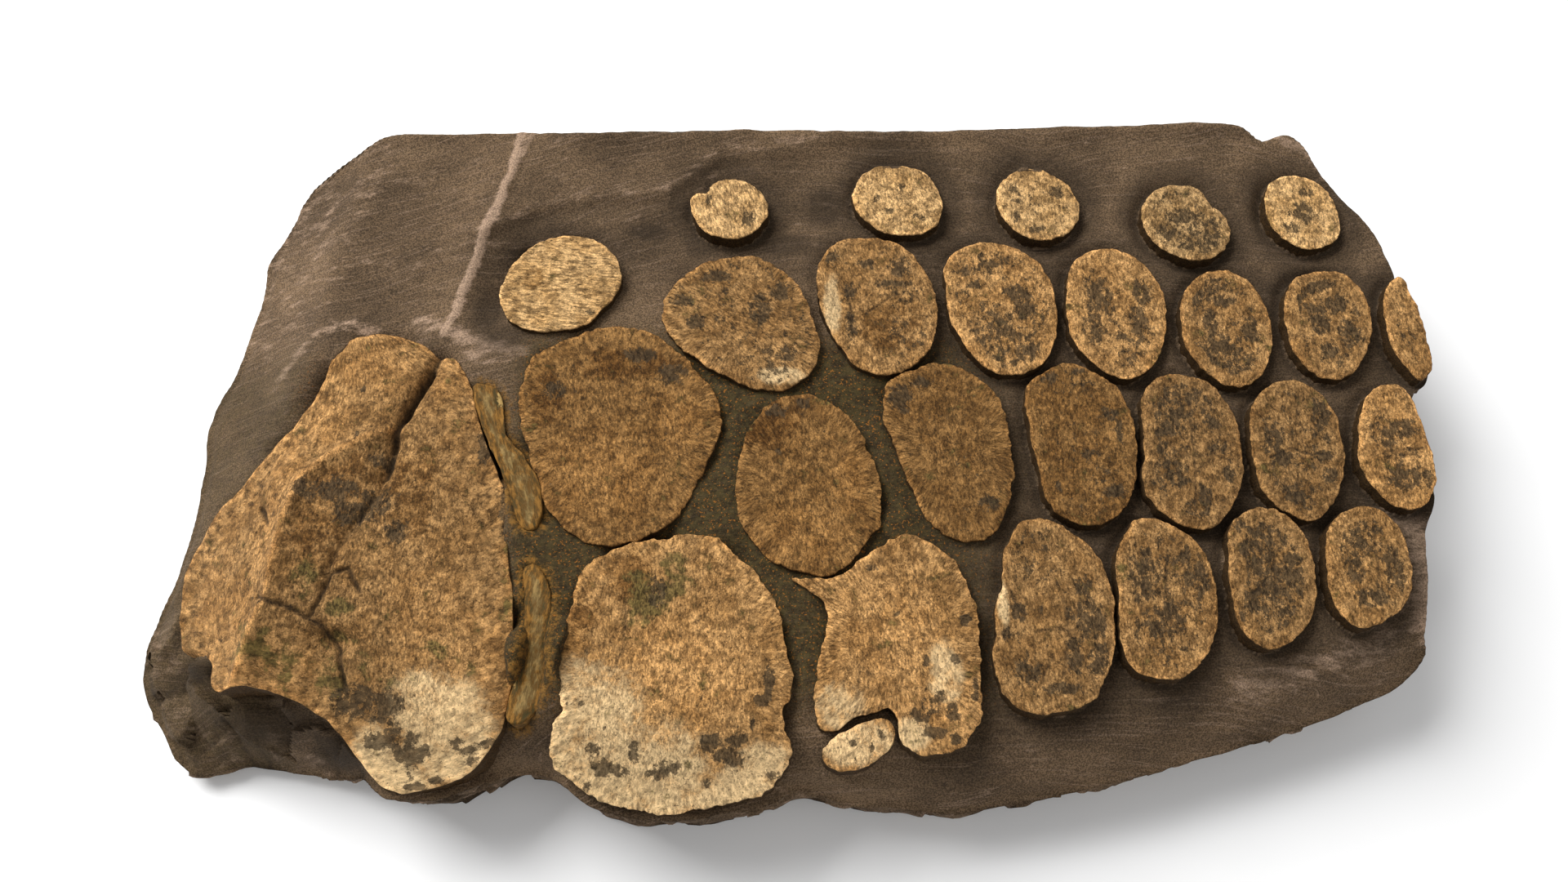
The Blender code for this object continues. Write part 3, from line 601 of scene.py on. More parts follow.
def calcite_material(name):
    """Calcite with long veins: an amber rind, a sandy core and a few light places."""
    n = Nodes(name)
    veins = n.noise(2.0, 7, 0.75, n.stretched(4.0, SEAM_TURNS[name]))
    rind = n.ramp(veins, [(0.40, shade(MOSS, 1.2)), (0.48, shade(ORANGE, 0.4)), (0.58, shade(ORANGE, 0.95))])
    core = n.ramp(veins, [(0.40, shade(ORANGE, 0.45)), (0.5, shade(SAND, 0.5)), (0.6, SAND)])
    colour = n.mix(n.ragged("core", n.noise(6.0, 6, 0.7), 5.0, 0.2, 1.2), rind, core)
    colour = n.mix(n.ragged("cream", n.noise(3.0, 6, 0.7), 5.0, 0.2, 0.9), colour, shade(SAND, 1.5))
    return n.finish(colour, veins, 0.9, CALCITE_ROUGHNESS)


# Bones

# For each bone its tone, the darkness of its middle, the width of its clean rim and its grain's turn.
BONE_LOOKS = {
    "metacarpal_5": (STRAW, 0.05, 3.0, 0.3),
    "phalanx_5_1": (STRAW, 0.15, 3.0, 0.2),
    "phalanx_5_2": (shade(STRAW, 0.95), 0.22, 3.0, 0.0),
    "phalanx_5_3": (shade(STRAW, 0.72), 0.35, 3.0, 0.0),
    "phalanx_5_4": (shade(STRAW, 1.1), 0.12, 3.0, 0.0),
    "pisiform": (shade(STRAW, 0.95), 0.02, 3.0, 1.45),
    "ulnare": (shade(TAN, 1.08), 0.28, 2.0, 0.8),
    "distal_carpal_4": (shade(TAN, 1.18), 0.26, 3.0, 0.2),
    "metacarpal_4": (shade(TAN, 1.48), 0.34, 3.5, 0.0),
    "phalanx_4_1": (shade(TAN, 1.48), 0.36, 4.0, 0.0),
    "phalanx_4_2": (shade(TAN, 1.25), 0.4, 4.0, 0.0),
    "phalanx_4_3": (shade(TAN, 1.2), 0.46, 4.5, 0.0),
    "phalanx_4_4": (shade(TAN, 1.3), 0.36, 4.0, 0.0),
    "ulna": (shade(BROWN, 1.12), 0.10, 2.0, 0.2),
    "intermedium": (shade(BROWN, 1.12), 0.10, 2.0, 0.2),
    "distal_carpal_3": (shade(BROWN, 1.05), 0.14, 2.0, 0.1),
    "metacarpal_3": (shade(BROWN, 1.1), 0.24, 3.0, 0.0),
    "phalanx_3_1": (shade(TAN, 0.95), 0.38, 4.0, 0.0),
    "phalanx_3_2": (shade(TAN, 0.95), 0.38, 4.0, 0.0),
    "phalanx_3_3": (shade(TAN, 1.6), 0.3, 4.0, 0.0),
    "radius": (shade(TAN, 1.35), 0.08, 2.0, 0.0),
    "radiale": (shade(TAN, 1.25), 0.06, 2.0, 0.2),
    "radiale_chip": (shade(TAN, 1.3), 0.12, 1.0, 0.0),
    "distal_carpal_2": (shade(TAN, 1.1), 0.24, 3.0, 0.1),
    "metacarpal_2": (shade(TAN, 1.2), 0.36, 4.0, 0.0),
    "phalanx_2_1": (TAN, 0.46, 5.0, 0.0),
    "phalanx_2_2": (shade(TAN, 1.3), 0.34, 5.0, 0.0),
}
# Bones with fibres and wrinkles that fan out towards a worn margin.
FANNED = ("ulna", "intermedium", "distal_carpal_3", "radius", "radiale", "ulnare")

SMUDGE_KINDS = ("dark", "clean", "pale", "moss", "umber_and_painted_shade", "glow", "blot")
# Marks read from the photo: x, y and the half sizes along X and Y of each smudge, by bone and kind.
SMUDGES = {
    "phalanx_3_1": {"dark": [(164, 13, 5, 6), (159, 7, 4, 4), (170, 21, 3, 3), (178, 8, 4, 5),
        (161, -16, 6, 5), (182, -14, 3, 5), (171, -24, 4, 7), (179, -3, 5, 2), (151, -18, 2, 2)]},
    "phalanx_3_2": {"dark": [(224, 13, 6, 7), (203, 2, 5, 7), (222, -6, 6, 3), (223, -15, 4, 4),
        (205, -7, 6, 5), (209, -23, 3, 7)]},
    "phalanx_3_3": {"dark": [(257, 7, 7, 7), (254, -16, 9, 7), (250, 2, 4, 7), (263, -16, 3, 5)],
        "clean": [(255, 14, 5, 4)]},
    "phalanx_2_1": {"dark": [(183, -37, 3, 3), (184, -47, 6, 4), (188, -53, 4, 7), (202, -56, 5, 13),
        (192, -61, 3, 12), (185, -68, 6, 7), (178, -74, 3, 5)], "clean": [(180, -53, 2.5, 5.5)]},
    "phalanx_2_2": {"dark": [(231, -44, 4, 4), (227, -54, 4, 9), (242, -54, 5, 11), (232, -66, 9, 5)],
        "clean": [(234, -54, 3, 6)]},
    "metacarpal_2": {"dark": [(144, -47, 3, 2), (138, -61, 3, 10), (143, -59, 4, 11), (151, -73, 7, 7),
        (160, -49, 3, 5), (164, -58, 5, 10), (145, -78, 6, 6)], "clean": [(135, -66, 3, 6)]},
    "distal_carpal_4": {"dark": [(21, 88, 5, 4), (28, 71, 4, 5), (29, 54, 3, 9), (51, 83, 6, 6),
        (47, 74, 8, 3), (36, 84, 5, 3)], "pale": [(21, 64, 4, 14)], "umber_and_painted_shade": [(46, 54, 14, 13)]},
    "metacarpal_4": {"dark": [(80, 80, 5, 3), (83, 74, 3, 3), (90, 84, 6, 3), (93, 54, 8, 7),
        (104, 64, 6, 10), (87, 61, 2, 6), (107, 42, 3, 3), (100, 71, 6, 4)]},
    "phalanx_4_1": {"dark": [(137, 69, 7, 12), (134, 54, 4, 12), (148, 38, 3, 2.5), (153, 56, 5, 9),
        (156, 70, 5, 8)]},
    "phalanx_4_2": {"dark": [(184, 55, 4, 9), (190, 66, 8, 4), (200, 52, 5, 9), (191, 42, 6, 6)]},
    "phalanx_4_3": {"dark": [(231, 58, 6, 10), (240, 64, 6, 6), (243, 50, 6, 8), (233, 42, 6, 5)]},
    "distal_carpal_3": {"dark": [(49, 20, 6, 8), (58, 27, 6, 3), (83, -27, 6, 4)]},
    "metacarpal_3": {"dark": [(112, 29, 5, 4), (124, 32, 4, 2.5), (136, 12, 4, 4), (139, 4, 2, 6),
        (112, -20, 2, 2.5), (134, -22, 6, 4), (121, -29, 2, 2)]},
    "distal_carpal_2": {"dark": [(104, -46, 2, 2), (92, -72, 4, 5), (113, -73, 4, 4), (118, -61, 4, 5),
        (120, -75, 7, 11), (112, -89, 4, 9), (122, -91, 5, 9), (94, -95, 7, 5), (87, -81, 3, 3),
        (107, -102, 9, 3)], "pale": [(86, -69, 2.5, 9)]},
    "radius": {"blot": [(-6, -98, 2.8, 8), (-8, -106, 4, 3.4), (-79, -107, 5, 1.6), (-72, -125, 4, 4),
        (-68, -131, 6.4, 4), (-62, -132, 5, 2.7), (-57, -126, 2.3, 6), (-28, -122, 4, 4),
        (-20, -126, 7.5, 6.5), (-45, -131, 6.4, 3.4), (-49, -133, 4, 2.7), (-17, -121, 5, 3.4),
        (-29, -136, 2.6, 2.7), (-74, -138, 2.3, 2), (-4, -133, 3.2, 2.5), (-12, -114, 1.3, 4)],
        "moss": [(-48, -60, 10, 10), (-53, -69, 10, 7), (-57, -74, 6, 5), (-42, -52, 5, 6)],
        "umber_and_painted_shade": [(-82, -82, 10, 22), (-60, -58, 12, 12)], "glow": [(-40, -96, 26, 20)],
        "dark": [(-50, -64, 5, 7)], "pale": [(-74, -114, 20, 24), (-58, -134, 36, 20),
        (-30, -144, 38, 14), (-8, -136, 18, 14)]},
    "radiale": {"blot": [(35, -54, 3.2, 2), (44, -73, 1.5, 1.3), (71, -75, 2.3, 3.4), (66, -91, 1.8, 2.4),
        (55, -91, 1.8, 2.4), (57, -107, 6.4, 5), (51, -112, 5, 3.4), (64, -110, 5, 3.4),
        (58, -118, 7, 2.4), (73, -102, 2, 5.4), (65, -121, 2.5, 2)], "pale": [(22, -108, 10, 9),
        (48, -119, 8, 6), (62, -96, 7, 12)], "glow": [(38, -80, 26, 26), (58, -108, 14, 14)]},
    "radiale_chip": {"glow": [(28, -122, 14, 9)], "pale": [(28, -122, 14, 9)],
        "dark": [(26, -122, 1.5, 1.6), (37, -119, 1.9, 3), (33, -124, 1.3, 1.4)]},
    "ulnare": {"dark": [(-44, 66, 6, 4), (-30, 78, 8, 4), (-10, 62, 6, 9), (-2, 70, 5, 6),
        (-38, 56, 5, 5), (2, 40, 5, 5)], "pale": [(-2, 30, 12, 4)]},
    # On the ulna the darker brown smudges and the dark ones beside them paint a shadow band along its upper
    # side.
    "ulna": {"dark": [(-48, 31, 8, 6), (-97, 24, 6, 5), (-62, 40, 9, 4)], "umber_and_painted_shade": [(-66, 36, 26, 9),
        (-100, 20, 8, 14)], "glow": [(-76, -14, 26, 18), (-44, 8, 9, 14)]},
    "intermedium": {"dark": [(-4, 14, 6, 4), (8, 17, 4, 3), (-2, -5, 2, 2)], "umber_and_painted_shade": [(-6, 8, 16, 12)],
        "glow": [(8, -40, 20, 12), (26, -18, 8, 16)]},
    "pisiform": {"umber_and_painted_shade": [(-110, 76, 5, 8)], "dark": [(-83, 60, 4, 2)]},
    "metacarpal_5": {"dark": [(-16, 107, 4, 5), (-34, 117, 2, 3)]},
    "phalanx_5_1": {"dark": [(42, 118, 2, 2), (47, 111, 2.5, 2), (53, 124, 2, 1.5), (60, 108, 4, 2)]},
    "phalanx_5_2": {"dark": [(123, 121, 4, 5), (104, 123, 3, 3), (112, 102, 5, 2.5), (104, 108, 2.5, 4)]},
    "phalanx_5_3": {"dark": [(178, 108, 9, 5), (170, 100, 5, 5), (188, 98, 4, 5)]},
    "phalanx_5_4": {"dark": [(232, 110, 7, 7), (236, 121, 4, 3), (226, 102, 4, 4)]},
    "humerus": {"dark": [(-176, 22, 2, 1.6), (-192, -23, 6, 5), (-180, -23, 9, 7), (-173, -33, 9, 6),
        (-164, -10, 6, 4), (-175, 1, 1.5, 2.4), (-154, -41, 6, 6), (-164, -29, 9, 8), (-123, -1, 3.7, 12),
        (-164, -106, 12, 7), (-103, -70, 3, 30), (-152, -109, 7, 8), (-112, -28, 3, 16)],
        "blot": [(-143, -125, 9, 7), (-157, -120, 5, 5), (-148, -120, 8, 5), (-120, -125, 5, 4),
        (-113, -121, 4, 2), (-126, -121, 5, 2.4), (-133, -134, 4, 2), (-140, -137, 6, 1.6),
        (-152, -108, 6, 5)], "moss": [(-107, -52, 6, 36), (-184, -94, 20, 12), (-202, -87, 10, 10),
        (-127, -93, 10, 5), (-136, -88, 7, 5), (-186, -60, 6, 9), (-172, -72, 8, 6)],
        # On the humerus the darker brown smudges are painted shade on the face right of the crest, which
        # turns away from the lamp.
        "umber_and_painted_shade": [(-184, -36, 12, 24), (-174, -20, 15, 16), (-150, -22, 12, 22)],
        "pale": [(-150, -134, 16, 12), (-127, -122, 20, 20), (-158, -127, 9, 14), (-134, -108, 18, 14)]},
}
# Cracks read from the photo, each a line of places.
CRACKS = {
    "phalanx_3_1": [[(170, 18), (169, 3), (169, -7), (168, -20), (167, -30)],
        [(161, -6), (170, -7), (183, -3)]],
    "phalanx_3_2": [[(200, -7), (210, -3), (217, -5), (227, -6)], [(216, 21), (214, 10)],
        [(210, -16), (208, -28)]],
    "phalanx_3_3": [[(247, -5), (255, -3), (265, -3)], [(248, -7), (259, -5)]],
    "phalanx_2_1": [[(196, -47), (194, -64)], [(185, -64), (192, -58)]],
    "phalanx_2_2": [[(237, -37), (236, -56), (233, -68)]],
    "metacarpal_2": [[(143, -47), (142, -61), (140, -73)], [(153, -49), (151, -59), (151, -76)]],
    "distal_carpal_4": [[(20, 79), (27, 71), (29, 64), (30, 49)], [(35, 59), (48, 69)]],
    "distal_carpal_2": [[(110, -65), (111, -81), (107, -97)], [(99, -79), (111, -79), (121, -77)],
        [(88, -61), (94, -73)], [(104, -89), (99, -99)], [(114, -87), (119, -99)]],
    "radius": [[(-62, -68), (-62, -85), (-65, -94)], [(-37, -38), (-35, -48)]],
    "radiale": [[(29, -93), (34, -96)], [(29, -93), (28, -111), (37, -111)], [(20, -121), (28, -113)],
        [(6, -57), (12, -58), (22, -57)]],
    "ulnare": [[(5, 76), (3, 66), (1, 55)], [(-10, 58), (-12, 49)]],
}


def smudged(xy, marks):
    """1 in the middle of each smudge, falling to 0 just past its border."""
    cover = np.zeros(len(xy))
    for x, y, half_x, half_y in marks:
        reach = np.hypot(*((xy - read(x, y)) / (half_x, half_y)).T)
        cover = np.maximum(cover, 1 - ease(reach, 0.4, 1.45))
    return cover


def shaken(xy, reach, size, seed):
    """Each place moved a little at random, so that lines read from the photo are no longer straight."""
    return xy + reach * np.column_stack([patches(xy, size, seed, 2), patches(xy, size, seed + 2, 2)])


def to_line(xy, line):
    """The distance to an open line of places read from the photo."""
    return distance(xy, [read(*place) for place in line], closed=False)


def cracked(xy, lines, width):
    """1 on each crack, falling to 0 at the given width."""
    cover = np.zeros(len(xy))
    wavy = shaken(xy, 0.8, 5.0, 101)
    for line in lines:
        cover = np.maximum(cover, 1 - ease(to_line(wavy, line), 0.1, width))
    return cover


def wrinkles(xy, edge, seed):
    """Short ridges that run from the middle of a bone towards its edge."""
    centre = edge[:, :2].mean(0)
    radius = np.linalg.norm(edge[:, :2] - centre, axis=1).mean()
    x, y = (xy - centre).T
    around, away = np.arctan2(y, x) * radius, np.hypot(x, y)
    wavy = around + 1.5 * patches(xy, 9.0, seed + 15, 2)
    return patches(np.column_stack([wavy, 0.22 * away]), 2.2, seed + 17, 2, 0.6)


# Relief of a bone in millimetres.
RIM_DROP = 0.9
BROAD_LUMPS = 0.35
FINE_LUMPS = 0.28
LUMPS = 0.45
WRINKLE_HEIGHT = 0.3
FANNED_WRINKLE_HEIGHT = 0.7
WORN_MIDDLE = 0.35
CRACK_DEPTH = 0.5
# An edge is ragged by this much, and more where fibres fan out. The chip has crumbled outwards.
EDGE_CHIPS = 0.55
FANNED_ROUGHNESS = 1.5
CHIP_GROWTH = 1.2
LEVEL_BLUR = 3.0


def bone(name):
    """One flat bone with its relief, marks and cracks."""
    tone, darkness, clean_rim, turn = BONE_LOOKS[name]
    marks = SMUDGES.get(name, {})
    shell = cad_shell(name)
    seed = 11 + sum(map(ord, name))
    edge = smooth_loop(upper_edge(shell), BONE_STEP)
    rough = FANNED_ROUGHNESS if name in FANNED else 1.0
    chips = patches(edge, 6.0, seed, 2), patches(edge, 2.2, seed + 7, 2, 0.7)
    ragged = rough * (EDGE_CHIPS * chips[0] + EDGE_CHIPS * chips[1])
    ragged += CHIP_GROWTH if name == "radiale_chip" else 0.0
    edge[:, :2] += outwards(edge) * ragged[:, None]
    levels = Levels(shell, edge, LEVEL_BLUR)
    floor = lowest_level(shell)
    disc = Disc(edge, BONE_STEP, 6)
    top = disc.top
    inset = distance(top, edge)
    z = levels.at(top)
    z += RIM_DROP * (ease(inset, -2.2, 2.6) - 1)
    z += BROAD_LUMPS * patches(top, 14.0, seed, 3) * ease(inset, 0, 4)
    z += FINE_LUMPS * patches(top, 2.4, seed + 3, 3, 0.7)
    z += LUMPS * patches(top, 6.0, seed + 19, 3, 0.6) * ease(inset, 0, 3)
    margin = 1 - ease(inset, 2, 15)
    wrinkle_height = FANNED_WRINKLE_HEIGHT if name in FANNED else WRINKLE_HEIGHT
    z += wrinkle_height * margin * wrinkles(top, edge, seed)
    z -= WORN_MIDDLE * ease(inset, clean_rim, clean_rim + 3)
    middle = ease(inset + 1.6 * patches(top, 5.0, seed + 5, 2), clean_rim - 0.8, clean_rim + 1.2)
    dark = 1.4 * middle * darkness * (1.0 + 0.9 * patches(top, 13.0, seed + 9, 2))
    smudge = {kind: smudged(top, marks.get(kind, [])) for kind in SMUDGE_KINDS}
    dark = np.maximum(dark, 0.9 * smudge["dark"] * ease(inset, 0.3, 1.6))
    crack = 0.65 * cracked(top, CRACKS.get(name, []), 1.0)
    z -= CRACK_DEPTH * crack
    masks = {
        "dark": dark * (1 - smudge["clean"]),
        "pale": smudge["pale"],
        "moss": smudge["moss"],
        "umber_and_painted_shade": smudge["umber_and_painted_shade"],
        "glow": smudge["glow"],
        "blot": 0.85 * smudge["blot"],
        "crack": crack,
        # Painted highlight along the rim.
        "lit": (1 - ease(inset, 0.4, 2.2)) * (0.6 + 0.8 * patches(top, 9.0, seed + 13, 2)),
        "margin": margin,
    }
    focus = edge[:, :2].mean(0) if name in FANNED else None
    material = bone_material(name, tone, turn, focus, LONG_GRAIN.get(name, GRAIN_LENGTH))
    piece = disc.solid(name, z, floor, masks, material, 0.5)
    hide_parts(name)
    shell.free()
    return edge


# Lines on the humerus: the sharp crest, the groove with its depth along it and, last, the cracks.
CREST = [(-158, 4), (-173, -1), (-186, -9), (-195, -19), (-198, -39), (-198, -67), (-205, -90), (-213, -104)]
GROOVE = [(-147, 38, 3), (-151, 27, 5), (-156, 15, 5), (-160, 2, 4), (-161, -13, 3), (-164, -24, 1.5),
          (-170, -36, 2), (-177, -50, 2), (-180, -64, 2)]
# Places painted lighter, mostly a painted highlight along the crest and on the left flank that faces the
# lamp, and hollow places, as x, y and half sizes like the smudges.
HUMERUS_LIGHT = [(-196, -94, 18, 12), (-174, 32, 20, 14), (-188, 8, 10, 14), (-202, -12, 8, 16),
                 (-205, -40, 6, 24), (-212, -74, 8, 20), (-228, -66, 8, 20), (-143, 28, 5, 10),
                 (-126, -92, 22, 26), (-139, -70, 14, 16)]
HUMERUS_HOLLOWS = [(-238, -89, 7, 5), (-230, -96, 6, 6), (-172, -84, 6, 5)]
HUMERUS_CRACKS = [
    [(-202, -69), (-190, -73), (-178, -79), (-172, -87), (-169, -101)],
    [(-177, -58), (-180, -67), (-182, -75)],
    [(-177, -58), (-171, -56), (-165, -65)],
    [(-212, -29), (-206, -37)],
]
CREST_HEIGHT = 3.0
CREST_WIDTH = 3.5
GROOVE_WIDTH = 1.8
FISSURE_DEPTH = 1.5
HOLLOW_DEPTH = 3.0


def humerus():
    """The big bone at the left with its crest, groove and fissures."""
    shell = cad_shell("humerus")
    edge = smooth_loop(upper_edge(shell), HUMERUS_STEP)
    edge[:, :2] += outwards(edge) * (0.8 * patches(edge, 7.0, 3, 3))[:, None]
    levels = Levels(shell, edge, LEVEL_BLUR)
    disc = Disc(edge, HUMERUS_STEP, 10)
    top = disc.top
    inset = distance(top, edge)
    z = levels.at(top)
    z += 1.6 * (ease(inset, -3, 3) - 1)
    z += 0.9 * patches(top, 18.0, 41, 4, 0.6) + 0.35 * patches(top, 2.6, 43, 3, 0.7)
    marks = SMUDGES["humerus"]
    to_crest = to_line(top, CREST)
    groove_line = np.array([(*read(x, y), depth) for x, y, depth in GROOVE])
    to_groove = distance(top, groove_line, closed=False)
    nearest = ((top[:, None] - groove_line[None, :, :2]) ** 2).sum(2).argmin(1)
    groove = groove_line[nearest, 2] * np.exp(-(to_groove / GROOVE_WIDTH) ** 2)
    fissures = cracked(top, HUMERUS_CRACKS, 1.6)
    z += CREST_HEIGHT * np.exp(-(to_crest / CREST_WIDTH) ** 2) - groove - FISSURE_DEPTH * fissures
    z += 0.5 * patches(top, 5.0, 45, 3, 0.65)
    hollow = smudged(top, HUMERUS_HOLLOWS)
    z -= HOLLOW_DEPTH * hollow
    masks = {
        "dark": np.maximum(0.05 + 0.3 * patches(top, 30.0, 47, 3), 0.92 * smudged(top, marks["dark"])),
        "pale": smudged(top, marks["pale"]),
        "moss": 0.6 * smudged(top, marks["moss"]),
        "umber_and_painted_shade": 0.85 * smudged(top, marks["umber_and_painted_shade"]),
        "blot": 0.9 * smudged(top, marks["blot"]),
        # Painted highlight, mostly on the crest and the left flank.
        "glow": smudged(top, HUMERUS_LIGHT),
        # The groove is darkened with the fissures as painted shade.
        "crack": np.clip(np.maximum(fissures, ease(groove, 0.8, 3.2)), 0, 1),
        # Painted highlight along the rim and along the crest.
        "lit": np.maximum(1 - ease(inset, 0.5, 3.0), 1.3 * (1 - ease(to_crest, 0.4, 2.2))),
        "margin": 1 - ease(inset, 3, 30),
    }
    floor = lowest_level(shell)
    material = bone_material("humerus", shade(TAN, 1.05), focus=read(-185, 60))
    piece = disc.solid("humerus", z, floor, masks, material, 1.0)
    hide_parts("humerus")
    shell.free()
    return edge


# Light places on the seams, like the smudges.
CREAM_CALCITE = [(-112, 8, 3, 8), (-118, 20, 2.5, 6), (-109, -112, 3, 5), (-104, -96, 1.5, 6)]
# The visual seams are broader and higher than their solids, so that they meet the humerus.
SEAM_GROWTH = 1.8
SEAM_LIFT = 2.8


def calcite_seam(name):
    """One seam of calcite with a rough, raised face."""
    shell = cad_shell(name)
    edge = smooth_loop(upper_edge(shell), BONE_STEP)
    edge[:, :2] += outwards(edge) * (SEAM_GROWTH + 0.6 * patches(edge, 5.0, 61, 2))[:, None]
    levels = Levels(shell, edge, LEVEL_BLUR)
    disc = Disc(edge, BONE_STEP, 4, (0.0, 0.6))
    inset = distance(disc.top, edge)
    z = levels.at(disc.top) + SEAM_LIFT + 0.8 * patches(disc.top, 4.0, 63, 3)
    z += 0.6 * (ease(inset, -1, 2) - 1)
    floor = lowest_level(shell)
    masks = {"core": ease(inset, 0.8, 4.0), "cream": smudged(disc.top, CREAM_CALCITE)}
    piece = disc.solid(name, z, floor, masks, calcite_material(name), 0.3)
    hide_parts(name)
    shell.free()
    return edge


# The slab

# Its length and width, and the places of its corners as they were read from the photo.
SLAB_LENGTH = 550
SLAB_WIDTH = 300
SLAB_CORNERS = [read(-254, -121), read(255, -78), read(240, 145), read(-200, 141)]
# Pale lines on the shale along its ridges and edges, partly paler stone and partly painted highlight: half
# width, strength and the places they run through.
PALE_LINES = [
    (3.6, 1.4, [(-117, 158), (-123, 132), (-127, 118), (-133, 98), (-137, 80), (-142, 62), (-146, 50)]),
    (2.6, 0.7, [(-111, 158), (-119, 138), (-126, 120)]),
    (7.0, 0.75, [(-157, 56), (-143, 52), (-127, 44), (-112, 43)]),
    (4.0, 0.5, [(-142, 50), (-130, 37), (-118, 38)]),
    (5.0, 0.6, [(-219, 30), (-205, 46), (-192, 54), (-176, 52)]),
    (4.0, 0.35, [(-215, 66), (-201, 58), (-186, 56)]),
    (3.5, 0.36, [(-139, 98), (-110, 116), (-84, 121), (-53, 124), (-28, 145), (15, 148)]),
    (2.5, 0.3, [(-131, 94), (-96, 103), (-69, 109), (-44, 122)]),
    (3.0, 0.28, [(-200, 126), (-172, 128), (-150, 122), (-130, 112)]),
    (3.0, 0.3, [(-206, 92), (-180, 84), (-160, 86), (-138, 96)]),
    (4.0, 0.8, [(-31, 157), (-25, 155), (-17, 153)]),
    (7.0, 0.55, [(199, 160), (221, 153), (240, 142), (256, 124)]),
    (10.0, 0.85, [(256, -28), (258, -52), (257, -76)]),
    (12.0, 0.5, [(250, 0), (248, -50), (236, -84), (180, -100)]),
    (9.0, 0.35, [(-252, -78), (-250, -100), (-238, -116)]),
]
# North of this line the shale is a worn shelf and south of it a lower ground, painted darker as painted
# shade.
TERRACE = np.array([read(x, y) for x, y in [(-146, 60), (-139, 96), (-110, 114), (-84, 119), (-53, 122),
                                            (-28, 140), (60, 150)]])
# Places on the shale painted darker as painted shade, like the smudges.
SHADED_GROUND = [(-121, 50, 12, 9), (-129, 60, 8, 14), (-37, 100, 10, 12), (0, 98, 16, 8), (19, 117, 12, 12),
                 (-110, 93, 18, 4), (-234, -92, 16, 6), (-200, -112, 24, 8), (-176, -122, 14, 6),
                 (-60, 104, 12, 5)]
SIDE_ROWS = 18
# Gaps to a bone are measured up to this far, and the rim is searched for this many places at a time.
GAP_REACH = 14
CHUNK = 4000
# Depths of the shale in millimetres: under the bones, along the seams, round a bone, below the terrace.
UNDER_BONES = 5.0
SEAM_CHANNEL = 3.5
MOAT = 1.5
TERRACE_STEP = 2.0


def between(loop, first, last):
    """The stretch of a closed loop from one index to another."""
    if last >= first:
        return loop[first:last + 1]
    return np.vstack([loop[first:], loop[:last + 1]])


def stretched_sheet(rim):
    """A grid of points stretched between the slab's four rims."""
    corner = [int(np.argmin(np.linalg.norm(rim[:, :2] - place, axis=1))) for place in SLAB_CORNERS]
    columns, rows = round(SLAB_LENGTH / SLAB_STEP), round(SLAB_WIDTH / SLAB_STEP)
    near = resampled(between(rim, corner[0], corner[1]), columns)
    right = resampled(between(rim, corner[1], corner[2]), rows)
    far = resampled(between(rim, corner[2], corner[3]), columns)[::-1]
    left = resampled(between(rim, corner[3], corner[0]), rows)[::-1]
    u = np.linspace(0, 1, columns)[:, None, None]
    v = np.linspace(0, 1, rows)[None, :, None]
    return ((1 - v) * near[:, None] + v * far[:, None] + (1 - u) * left[None] + u * right[None]
            - (1 - u) * (1 - v) * near[0] - u * (1 - v) * near[-1] - (1 - u) * v * far[0] - u * v * far[-1])


def slab_side(brink):
    """Rings of points with ledges, breaks and chips from the slab's brink to its floor, and their masks."""
    normal = outwards(brink)
    walked = np.cumsum(np.linalg.norm(np.diff(brink[:, :2], axis=0, prepend=brink[-1:, :2]), axis=1))
    rings, masks = [], []
    for row in range(1, SIDE_ROWS + 1):
        share = row / SIDE_ROWS
        level = brink[:, 2] * (1 - share)
        ledges = np.abs(patches(np.column_stack([walked * 0.3, level * 2.2]), 12.0, 91, 3, 0.55))
        breaks = np.abs(patches(np.column_stack([walked, level * 0.5]), 26.0, 92, 3, 0.5))
        grain = patches(np.column_stack([walked, level * 1.6]), 3.0, 94, 3, 0.7)
        chips = splintered(np.column_stack([walked, 1.3 * level]), 15.0, 0.4, 104)
        out = 0.5 - 2.0 * share - 3.5 * ledges - 4.0 * breaks + 0.5 * grain + np.minimum(chips, 1.5)
        out *= min(1, 6 * share) * (1 - 0.6 * share**6)
        rings.append(np.column_stack([brink[:, :2] + normal * out[:, None], level]))
        # The ledges that stand out are painted paler as painted highlight, and the breaks between them
        # darker as painted shade.
        masks.append({"pale": 0.1 + 0.45 * (1 - ease(ledges, 0.0, 0.2)),
                      "hollow": 0.15 + 0.55 * ease(breaks + ledges, 0.35, 0.9), "flow": level})
    return rings, masks


